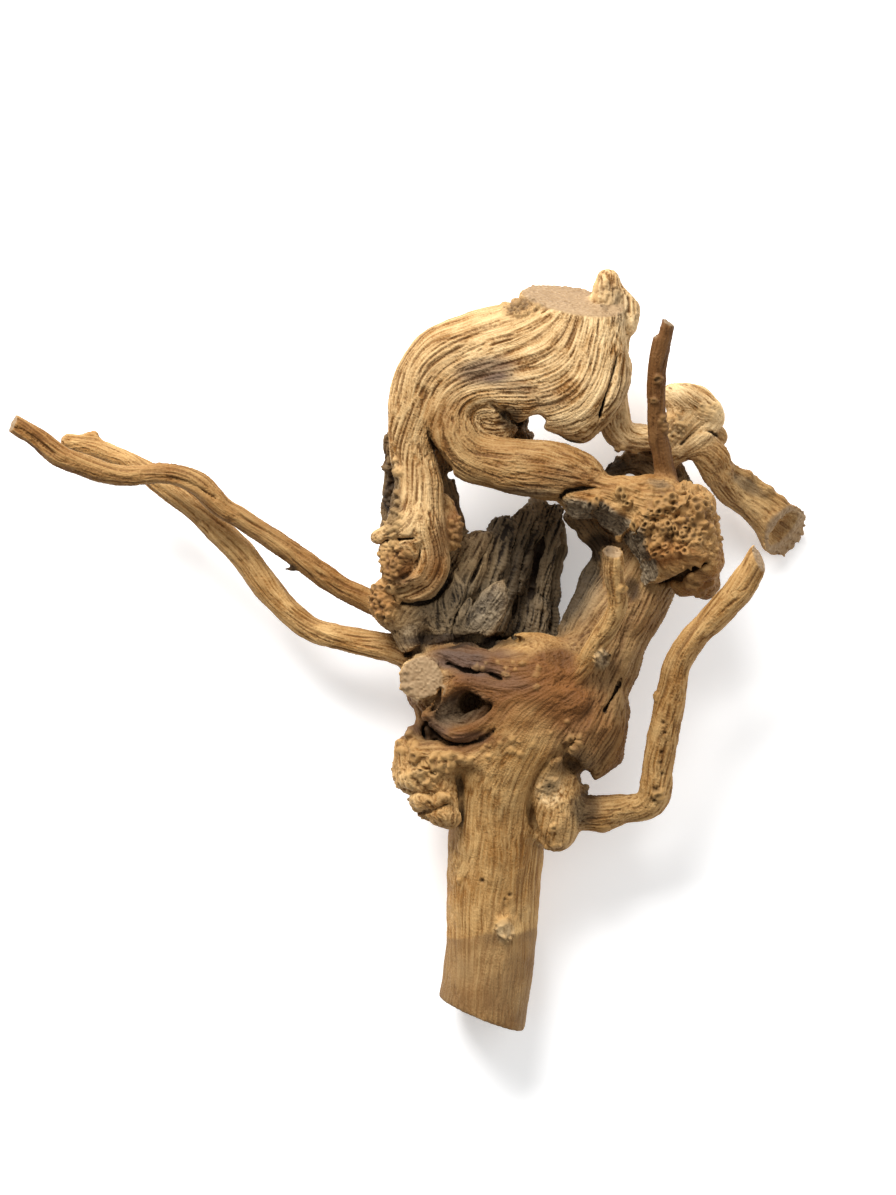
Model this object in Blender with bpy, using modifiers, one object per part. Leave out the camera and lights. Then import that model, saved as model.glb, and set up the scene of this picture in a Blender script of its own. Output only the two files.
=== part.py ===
"""A twisted piece of driftwood lying on its back, grown as one solid: trunk, burls, hollow head, limbs and twigs.

The saw cut at the trunk's foot points along -Y, the long twigs reach to -X and the floor is at z = 0.
"""

from math import cos, pi, radians, sin

import bmesh
import bpy
import numpy as np
from mathutils import Matrix, Vector

MM = 0.001
VOXEL = 2.2 * MM
TARGET_FACES = 8600
BLEND_PASSES = 5
PROFILE_POINTS = 20

# The two sawn faces: a point on the face in mm, and the direction that the removed wood lay in.
FOOT_CUT = ((43.5, -219.5, 24), (-0.372, -0.925, -0.08))
HEAD_CUT = ((100, 211, 66), (0.0, 0.90, 0.435))
FLOOR_CUT = ((0, 0, 0), (0, 0, -1))

# Limbs: thickness over width, then centre-line points (x, y, z, half-width), all in mm.
TRUNK = {
    "trunk": (0.93, [(37, -258, 24.5, 26), (44, -218, 25, 27), (49, -180, 26, 27), (50.5, -149, 28, 28),
                     (52, -119, 33, 29), (54.5, -92, 39, 29), (58, -68, 45, 32), (64.5, -44, 50, 35),
                     (73.5, -23, 52, 35)]),
    "arm": (0.8, [(90.5, -50, 50, 33.5), (107.5, -17, 52, 25.5), (120.5, 10, 50, 22.5), (132.5, 31, 48, 22.5),
                  (144, 52, 46, 20.5), (154, 73, 44, 18.5), (158.5, 91, 42, 14.5)]),
    "arm_back": (0.6, [(99.5, -8, 38, 14.5), (112, 25, 36, 17), (123.5, 49, 36, 15.5), (135.5, 70, 36, 13)]),
    "body_rim": (0.9, [(17, -2.5, 62, 8), (39.5, -7, 68, 9), (60.5, -11, 71, 9), (81.5, -11, 72, 9.5),
                       (101, -9.5, 70, 8)]),
    "upper_lid": (0.9, [(17, -19, 68, 3.5), (30.5, -13, 74, 5), (54.5, -21.5, 77, 6), (78.5, -24, 77, 8.5),
                        (99.5, -29, 76, 8.5)]),
    "lower_lid": (0.9, [(10, -36, 62, 3), (20, -45, 67, 3.5), (34, -48.5, 71, 3.5), (48.5, -42.5, 72, 4),
                        (56.5, -33, 71, 5)]),
    "wart_ridge": (0.9, [(8.5, -60, 62, 6.5), (27.5, -62.5, 68, 6), (45.5, -63, 70, 5.5), (61.5, -65, 68, 5.5)]),
}
HEAD = {
    "left_limb": (0.8, [(-6, 27.5, 56, 16), (-1.5, 46, 60, 20), (1, 64, 64, 18.5), (4, 82, 66, 17),
                        (5.5, 100, 66, 14), (1.5, 120, 66, 13), (1, 139, 68, 13.5), (5.5, 159, 70, 16),
                        (18.5, 176, 72, 18.5), (38, 183, 72, 20), (62, 187.5, 70, 21.5), (86, 188, 68, 23),
                        (108, 186, 64, 18)]),
    "crown": (0.64, [(100, 160, 70, 28), (99, 188, 68, 30), (98, 212, 66, 30), (98, 236, 64, 30)]),
    "crown_left": (0.6, [(60, 178, 70, 22), (74, 196, 68, 16), (80, 212, 66, 13), (82, 226, 64, 12)]),
    "head": (0.52, [(116, 170.5, 64, 18), (101, 164.5, 70, 30), (78.5, 167, 74, 31), (54.5, 168, 74, 27.5),
                    (33.5, 163, 74, 23), (23, 150, 74, 18)]),
    "lower_band": (0.85, [(31.5, 158.5, 74, 14.5), (23, 145, 74, 14.5), (24.5, 131, 74, 15), (34.5, 118, 73, 14.5),
                          (51.5, 113, 72, 15), (69.5, 110.5, 72, 17), (87.5, 108.5, 72, 17.5), (102.5, 104.5, 73, 14.5),
                          (116.5, 96.5, 75, 8), (133.5, 89.5, 76, 7)]),
    "left_back": (0.75, [(-8, 127, 38, 7), (-7, 103, 26, 10), (-4.5, 84, 16, 14), (-1, 61, 16, 16),
                         (9.5, 28, 28, 18)]),
    "left_back_right": (0.8, [(18.5, 114, 46, 5), (22.5, 97, 40, 6.5), (25.5, 78, 36, 8), (23, 60, 34, 11)]),
    "limb_foot": (0.6, [(1.5, 33.5, 52, 14.5), (-3.5, 18, 52, 10), (1.5, 6, 53, 4)]),
}
RIGHT = {
    "right_limb": (0.85, [(128, 211, 54, 6.5), (128.5, 196, 54, 7), (125, 180, 54, 7.5), (124, 163, 55, 8),
                          (123, 150, 57, 9.5), (125, 138, 58, 10.5), (134, 131, 56, 9), (144.5, 129, 52, 8.5),
                          (156.5, 126, 48, 7.5)]),
    "tall_twig": (0.95, [(153, 197, 104, 5), (149, 180, 99, 5.5), (147, 163, 93, 5.5), (147, 148, 88, 5.5),
                         (148, 133, 83, 5.5), (151, 118, 78, 6), (155, 98.5, 72, 6.5)]),
    "knob_limb": (0.75, [(164, 150, 52, 10), (175, 144, 52, 12.5), (173, 138, 50, 11), (163.5, 128.5, 48, 8.5),
                         (155, 120, 46, 6.5)]),
    "twist_limb": (0.8, [(155, 117, 46, 5), (166.5, 122, 50, 8), (177, 120, 50, 12), (184, 109, 46, 12.5),
                         (192, 101, 40, 10.5), (204, 94, 32, 9.5), (214, 87, 24, 11.5), (222, 80, 17, 14.5),
                         (230, 75, 13, 16.5)]),
    "rear_bridge": (0.8, [(118.5, 104.5, 44, 3.5), (128.5, 112, 40, 6.5), (141.5, 114, 36, 11), (153.5, 106, 36, 13),
                          (158.5, 88, 38, 15.5)]),
    "rear_lump": (0.8, [(103.5, 81.5, 48, 9.5), (114.5, 69.5, 44, 8.5), (127.5, 55, 42, 12)]),
}
TWIGS = {
    "long_twig_a": (0.95, [(0.5, 17, 42, 8), (-17.5, 27, 44, 7.5), (-41.5, 39.5, 46, 7), (-65.5, 56, 49, 7),
                           (-89.5, 72.5, 53, 6.5), (-101.5, 80.5, 56, 6.5), (-113.5, 88, 58, 7), (-125, 100, 60, 7.5),
                           (-137.5, 106, 61, 6.5), (-149.5, 107.5, 61, 6), (-161.5, 106, 61, 6),
                           (-173.5, 106, 61, 6.5), (-185.5, 108.5, 62, 6.5), (-197.5, 113, 63, 6.5),
                           (-209.5, 118, 65, 6.5), (-221.5, 128, 67, 6), (-237, 137, 70, 5.5)]),
    "long_twig_b": (0.95, [(13.5, -7, 40, 9), (-5.5, 1, 39, 8.5), (-29.5, 6, 37, 8), (-53.5, 11.5, 36, 7.5),
                           (-65.5, 18, 36, 7.5), (-77.5, 29, 36, 8), (-89.5, 43, 36, 8.5), (-101.5, 59.5, 36, 8),
                           (-113.5, 71.5, 36, 8), (-125.5, 83, 35, 7), (-137.5, 93, 34, 7), (-149.5, 102, 33, 7),
                           (-161.5, 110.5, 31, 6.5), (-173.5, 116.5, 29, 6.5), (-185.5, 122, 27, 6.5),
                           (-197.5, 125.5, 25, 5), (-210, 129, 23, 3.5)]),
    "elbow": (0.95, [(93.5, -96, 48, 12.5), (105.5, -96.5, 47, 10.7), (116.5, -97, 46, 10.7),
                     (129.5, -94, 45, 8.8), (140, -93, 46, 8.4), (147, -87, 49, 9.7), (148.5, -74, 53, 9.3),
                     (151.5, -54, 58, 9.2), (155.5, -33.5, 63, 9.2), (158, -18.5, 67, 8.4),
                     (161, -5.5, 70, 7.8), (170.5, 9, 74, 7.8), (185.5, 24.5, 79, 8.3), (199, 41, 84, 8.6),
                     (208, 58, 88, 6.5)]),
    "front_twig": (0.95, [(97.5, -18, 74, 3.5), (106.5, -3.5, 80, 5.5), (115, 9.5, 88, 6.5), (122, 21.5, 96, 6),
                          (124, 31, 101, 6), (121.5, 44.5, 108, 6), (120, 60, 114, 6)]),
    "tip_fork": (0.9, [(-201, 124.5, 26, 3.5), (-196, 129, 26, 4), (-191, 130.5, 26, 3.5)]),
}
SHEETS = {
    "rib_start": (0.6, [(5, -8, 40, 10), (11, 20, 40, 11), (22, 46, 38, 9)]),
    "rib_a": (0.6, [(16, -12, 38, 9), (23, 24, 34, 10), (36.5, 57.5, 32, 9.5), (48.5, 77, 31, 6)]),
    "rib_b": (0.6, [(29, -14.5, 33, 9), (38.5, 24, 28, 9.5), (49.5, 55, 26, 9.5), (60.5, 80.5, 26, 6)]),
    "rib_c": (0.6, [(42.5, -17, 29, 9), (52.5, 24, 23, 9), (62, 55, 21, 9), (72.5, 84.5, 22, 6)]),
    "rib_d": (0.6, [(56, -18, 27, 9), (65, 24, 19, 8.5), (72.5, 55, 18, 8.5), (81.5, 85, 20, 6)]),
    "rib_e": (0.6, [(68.5, -18, 28, 8.5), (75.5, 24, 20, 8), (79.5, 55, 18, 7), (88, 83, 21, 5.5)]),
    "front_flap": (0.4, [(18.5, 48, 50, 15.5), (24.5, 27.5, 47, 15), (25.5, 17.5, 46, 10)]),
    "flake": (0.4, [(35, 17, 50, 5.5), (44.5, 27.5, 51, 6), (53.5, 41, 50, 3)]),
}

# Swellings: centre, half-sizes in mm, and the turn about Z in degrees.
BURLS = {
    "body_left": ((31.5, -31, 48), (31, 30, 28), 0),
    "body_right": ((93.5, -36, 50), (33, 30, 29), 0),
    "right_lobe": ((112.5, -50.5, 48), (15, 17, 20), 10),
    "right_lobe_low": ((107, -65, 46), (13, 7, 14), 0),
    "side_knot": ((89, -95, 50), (17, 26.5, 25), 6),
    "stub_root": ((8.5, -15.5, 56), (15.5, 17, 20), 0),
    "lobe_a": ((2, -68.5, 46), (10, 13, 16), 0),
    "lobe_b": ((12.5, -78, 52), (16, 15.5, 18), 0),
    "lobe_c": ((21, -93, 52), (14, 14.5, 17), 0),
    "lobe_d": ((23, -96, 60), (8.5, 6, 10), 0),
    "lobe_e": ((17, -63, 58), (14.5, 7, 12), 0),
    "nodule_a": ((2.5, -51, 52), (6, 7, 6), 0),
    "nodule_b": ((6, -58, 52), (6, 6, 6), 0),
    "burl_main": ((150.5, 74.5, 80), (27.5, 25, 17), 0),
    "burl_right": ((169.5, 72, 80), (16, 24, 16), 0),
    "burl_top": ((138.5, 91, 80), (23, 12, 13), 0),
    "burl_arm": ((112, 92, 77), (19, 8.5, 10), -10),
    "burl_low": ((168.5, 55, 78), (17, 12, 15), 0),
    "burl_edge": ((138.5, 57.5, 74), (8.5, 15.5, 11), 20),
    "burl_lobe": ((172, 44.5, 64), (13, 11.5, 14), 0),
    "burl_core": ((157, 72, 60), (18, 20, 22), 0),
    "head_lip": ((97, 143, 68), (18, 14, 17), 0),
    "face_knot": ((-6.5, 56, 74), (13.5, 14, 11), 0),
    "limb_swirl": ((5, 49, 66), (18, 18, 18), 0),
    "limb_core": ((5, 40, 44), (16, 24, 16), 0),
    "knob": ((172, 146, 50), (14.5, 12.5, 11), 0),
    "twist_head": ((178, 116, 50), (13, 13, 10), 0),
    "head_corner": ((122, 160, 60), (8, 22, 11), 0),
    "curl_fill": ((43, 141, 66), (25, 17, 18), 0),
    "rear_fill": ((97, -74, 38), (10, 13, 14), 0),
    "crown_side": ((128.5, 204, 58), (7, 11, 9), 0),
}

# Knob standing past the head's saw cut.
TOP_KNOB = ((119, 217, 58), (8, 13, 8), 8)

# Hollows cut from the solid, written like the swellings.
HOLLOWS = {
    "eye_mouth": ((37, -29, 77), (22, 10.5, 16), -6),
    "eye_depth": ((42, -30, 62), (9, 6.5, 17), 0),
    "curl_eye": ((72.5, 137, 74), (10, 6, 40), 25),
}


def clear_scene():
    for item in list(bpy.data.objects):
        bpy.data.objects.remove(item, do_unlink=True)


def new_collection(name, hidden):
    found = bpy.data.collections.new(name)
    bpy.context.scene.collection.children.link(found)
    found.hide_render = hidden
    return found


def link_helper(name, data, helpers):
    item = bpy.data.objects.new(name, data)
    helpers.objects.link(item)
    item.hide_render = True
    item.display_type = "WIRE"
    return item


def cross_section(flatness, helpers):
    """An ellipse of unit half-width, used as the bevel profile of a limb."""
    data = bpy.data.curves.new(f"section_{flatness}", "CURVE")
    spline = data.splines.new("POLY")
    spline.points.add(PROFILE_POINTS - 1)
    for index, point in enumerate(spline.points):
        turn = 2 * pi * index / PROFILE_POINTS
        point.co = (MM * cos(turn), MM * flatness * sin(turn), 0, 1)
    spline.use_cyclic_u = True
    return link_helper(data.name, data, helpers)


def limb_mesh(name, flatness, points, helpers):
    """The closed mesh of one limb, swept along its centre line."""
    data = bpy.data.curves.new(name, "CURVE")
    data.dimensions = "3D"
    data.twist_mode = "Z_UP"
    data.resolution_u = 5
    data.bevel_mode = "OBJECT"
    data.bevel_object = cross_section(flatness, helpers)
    data.use_fill_caps = True
    spline = data.splines.new("BEZIER")
    spline.bezier_points.add(len(points) - 1)
    spline.radius_interpolation = "CARDINAL"
    for point, (x, y, z, half_width) in zip(spline.bezier_points, points):
        point.co = Vector((x, y, z)) * MM
        point.handle_left_type = "AUTO"
        point.handle_right_type = "AUTO"
        point.radius = half_width
    item = link_helper(name, data, helpers)
    graph = bpy.context.evaluated_depsgraph_get()
    mesh = bpy.data.meshes.new_from_object(item.evaluated_get(graph))
    mesh.transform(item.matrix_world)
    bpy.data.objects.remove(item, do_unlink=True)
    return mesh


def add_mesh(whole, mesh):
    """Welds the caps of a swept mesh and adds it to the whole."""
    part = bmesh.new()
    part.from_mesh(mesh)
    bmesh.ops.remove_doubles(part, verts=part.verts, dist=0.00001)
    bmesh.ops.recalc_face_normals(part, faces=part.faces)
    part.to_mesh(mesh)
    part.free()
    whole.from_mesh(mesh)
    bpy.data.meshes.remove(mesh)


def swelling_matrix(centre, halves, turn):
    place = Matrix.Translation(Vector(centre) * MM)
    spin = Matrix.Rotation(radians(turn), 4, "Z")
    size = Matrix.Diagonal((*(Vector(halves) * MM), 1))
    return place @ spin @ size


def rough_solid(helpers):
    """All limbs and swellings as overlapping closed shells."""
    whole = bmesh.new()
    for group in (TRUNK, HEAD, RIGHT, TWIGS, SHEETS):
        for name, (flatness, points) in group.items():
            add_mesh(whole, limb_mesh(name, flatness, points, helpers))
    for centre, halves, turn in BURLS.values():
        matrix = swelling_matrix(centre, halves, turn)
        bmesh.ops.create_icosphere(whole, subdivisions=3, radius=1, matrix=matrix)
    mesh = bpy.data.meshes.new("driftwood")
    whole.to_mesh(mesh)
    whole.free()
    return mesh


def grown_together(item):
    """Merges the shells into one skin, rounds the joins and thins the faces out."""
    merge = item.modifiers.new("merge", "REMESH")
    merge.mode = "VOXEL"
    merge.voxel_size = VOXEL
    blend = item.modifiers.new("blend", "SMOOTH")
    blend.factor = 0.5
    blend.iterations = BLEND_PASSES
    graph = bpy.context.evaluated_depsgraph_get()
    skin = bpy.data.meshes.new_from_object(item.evaluated_get(graph))
    item.modifiers.clear()
    item.data = largest_piece(skin)
    thin = item.modifiers.new("thin", "DECIMATE")
    thin.ratio = TARGET_FACES / (2 * len(item.data.polygons))
    thin.use_collapse_triangulate = True


def largest_piece(mesh):
    """Keeps the outer skin only, without the closed pockets left between the shells."""
    skin = bmesh.new()
    skin.from_mesh(mesh)
    skin.verts.ensure_lookup_table()
    label = np.full(len(skin.verts), -1)
    sizes = []
    for start in skin.verts:
        if label[start.index] >= 0:
            continue
        stack = [start]
        label[start.index] = len(sizes)
        count = 0
        while stack:
            here = stack.pop()
            count += 1
            for edge in here.link_edges:
                there = edge.other_vert(here)
                if label[there.index] < 0:
                    label[there.index] = len(sizes)
                    stack.append(there)
        sizes.append(count)
    keep = int(np.argmax(sizes))
    spare = [vert for vert in skin.verts if label[vert.index] != keep]
    bmesh.ops.delete(skin, geom=spare, context="VERTS")
    skin.to_mesh(mesh)
    skin.free()
    return mesh


def cutter(name, matrix, helpers, box):
    shape = bmesh.new()
    if box:
        bmesh.ops.create_cube(shape, size=2, matrix=matrix)
    else:
        bmesh.ops.create_icosphere(shape, subdivisions=3, radius=1, matrix=matrix)
    mesh = bpy.data.meshes.new(name)
    shape.to_mesh(mesh)
    shape.free()
    return link_helper(name, mesh, helpers)


def saw(name, point, outward, size, helpers):
    """A block whose face lies on the saw cut, on the side that is removed."""
    direction = Vector(outward).normalized()
    turn = direction.to_track_quat("Z", "Y").to_matrix().to_4x4()
    centre = (Vector(point) + direction * size) * MM
    matrix = Matrix.Translation(centre) @ turn @ Matrix.Scale(size * MM, 4)
    return cutter(name, matrix, helpers, box=True)


def combine(item, tool, operation):
    change = item.modifiers.new(tool.name, "BOOLEAN")
    change.operation = operation
    change.solver = "EXACT"
    change.object = tool


def wood():
    material = bpy.data.materials.new("weathered_wood")
    material.use_nodes = True
    shader = material.node_tree.nodes["Principled BSDF"]
    shader.inputs["Base Color"].default_value = (0.50, 0.31, 0.15, 1)
    shader.inputs["Roughness"].default_value = 0.72
    return material


def build():
    clear_scene()
    parts = new_collection("driftwood", hidden=False)
    helpers = new_collection("cutters", hidden=True)
    item = bpy.data.objects.new("driftwood", rough_solid(helpers))
    parts.objects.link(item)
    grown_together(item)
    for name, (centre, halves, turn) in HOLLOWS.items():
        combine(item, cutter(name, swelling_matrix(centre, halves, turn), helpers, box=False), "DIFFERENCE")
    combine(item, saw("foot_cut", *FOOT_CUT, 50, helpers), "DIFFERENCE")
    combine(item, saw("head_cut", *HEAD_CUT, 50, helpers), "DIFFERENCE")
    combine(item, cutter("top_knob", swelling_matrix(*TOP_KNOB), helpers, box=False), "UNION")
    combine(item, saw("floor_cut", *FLOOR_CUT, 400, helpers), "DIFFERENCE")
    item.data.materials.append(wood())


build()
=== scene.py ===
import math
import time
import bpy
import numpy as np
import openvdb
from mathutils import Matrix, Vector


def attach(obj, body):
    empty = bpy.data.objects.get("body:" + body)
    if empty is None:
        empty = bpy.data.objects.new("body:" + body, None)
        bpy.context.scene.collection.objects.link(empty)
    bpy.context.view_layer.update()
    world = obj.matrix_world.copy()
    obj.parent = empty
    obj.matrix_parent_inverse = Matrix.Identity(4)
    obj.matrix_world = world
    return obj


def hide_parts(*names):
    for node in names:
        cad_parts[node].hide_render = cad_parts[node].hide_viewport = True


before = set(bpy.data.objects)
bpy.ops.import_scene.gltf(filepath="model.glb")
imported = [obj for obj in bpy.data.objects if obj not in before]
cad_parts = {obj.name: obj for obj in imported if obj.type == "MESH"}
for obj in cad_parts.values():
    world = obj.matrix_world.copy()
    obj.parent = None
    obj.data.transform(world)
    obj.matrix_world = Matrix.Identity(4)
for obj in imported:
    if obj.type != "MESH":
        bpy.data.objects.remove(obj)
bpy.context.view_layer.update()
startTime = time.time()
for leftover in ("Cube", "Light", "Camera"):
    if leftover in bpy.data.objects:
        bpy.data.objects.remove(bpy.data.objects[leftover], do_unlink=True)


def say(words):
    print(f"[{time.time() - startTime:5.1f} s] {words}")


# working grid for the wood, all in mm
gridSettings = {
    "low": (-246.0, -238.0, -6.0),
    "high": (246.0, 238.0, 126.0),
    "cell": 1.3,
    "coarse": 3.0,
}
gridLow = np.array(gridSettings["low"], np.float32)


def gridAxes(cell):
    # x, y and z of the grid's lines, and how many there are of each
    low, high = np.array(gridSettings["low"]), np.array(gridSettings["high"])
    shape = tuple(np.ceil((high - low) / cell).astype(int) + 1)
    return [a + cell * np.arange(n, dtype=np.float32) for a, n in zip(gridSettings["low"], shape)], shape


def smoothPath(points, spacing):
    # Catmull-Rom curve through the given points, with even steps
    pts = np.array(points, np.float64)
    ends = np.vstack([2 * pts[0] - pts[1], pts, 2 * pts[-1] - pts[-2]])
    out = []
    for i in range(len(pts) - 1):
        p0, p1, p2, p3 = ends[i:i + 4]
        steps = max(2, int(np.linalg.norm((p2 - p1)[:3]) / spacing + 0.5))
        t = (np.arange(steps) / steps)[:, None]
        out.append(0.5 * (2 * p1 + (p2 - p0) * t + (2 * p0 - 5 * p1 + 4 * p2 - p3) * t ** 2
                          + (3 * p1 - p0 - 3 * p2 + p3) * t ** 3))
    return np.vstack(out + [pts[-1:]])


def subBox(axes, low, high):
    slices = []
    for values, a, b in zip(axes, low, high):
        i0 = int(np.searchsorted(values, a))
        i1 = int(np.searchsorted(values, b))
        slices.append(slice(max(i0, 0), max(i1, i0 + 1)))
    return tuple(slices)


def gridSpots(axes, part):
    return np.meshgrid(*(v[s] for v, s in zip(axes, part)), indexing="ij", sparse=True)


def around(axes, a, b, reach):
    # the part of the grid round the stretch from a to b, and the coordinates in it
    a, b = np.array(a)[:3], np.array(b)[:3]
    part = subBox(axes, np.minimum(a, b) - reach, np.maximum(a, b) + reach)
    return (part, *gridSpots(axes, part))


def stretches(axes, path, spare, column=None):
    # each stretch of a path, with the grid round it; column is where its half-width or depth stands
    for a, b in zip(path[:-1], path[1:]):
        width = max(a[column], b[column]) if column else 0
        yield (a, b, *around(axes, a, b, width + spare))


def blurred(volume):
    for axis in range(3):
        volume = 0.5 * volume + 0.25 * (np.roll(volume, 1, axis) + np.roll(volume, -1, axis))
    return volume


def ovalDistance(parts, halves):
    # signed distance to an oval, from places already divided by its half-sizes
    k0 = np.sqrt(sum(q ** 2 for q in parts))
    k1 = np.sqrt(sum((q / half) ** 2 for q, half in zip(parts, halves)))
    return k0 * (k0 - 1) / (k1 + 1e-6)


def turned(x, y, degrees):
    c, s = math.cos(math.radians(degrees)), math.sin(math.radians(degrees))
    return x * c + y * s, y * c - x * s


def tubeDistance(x, y, z, a, b, flat):
    # signed distance to one short stretch of a limb with an oval section
    along = b[:3] - a[:3]
    length = np.linalg.norm(along)
    t = along / length
    side = np.array([t[1], -t[0], 0.0])
    side /= max(np.linalg.norm(side), 1e-6)
    up = np.cross(side, t)
    rx, ry, rz = x - a[0], y - a[1], z - a[2]
    h = rx * t[0] + ry * t[1] + rz * t[2]
    clamped = np.clip(h, 0, length)
    radius = a[3] + (b[3] - a[3]) * (clamped / length)
    qs = (rx * side[0] + ry * side[1] + rz * side[2]) / radius
    qu = (rx * up[0] + ry * up[1] + rz * up[2]) / (radius * flat)
    qt = (h - clamped) / radius
    return ovalDistance((qs, qu, qt), (radius, radius * flat, radius))


def meltMin(a, b, k):
    h = np.clip(0.5 + 0.5 * (a - b) / k, 0, 1)
    return a + (b - a) * h - k * h * (1 - h)


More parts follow.
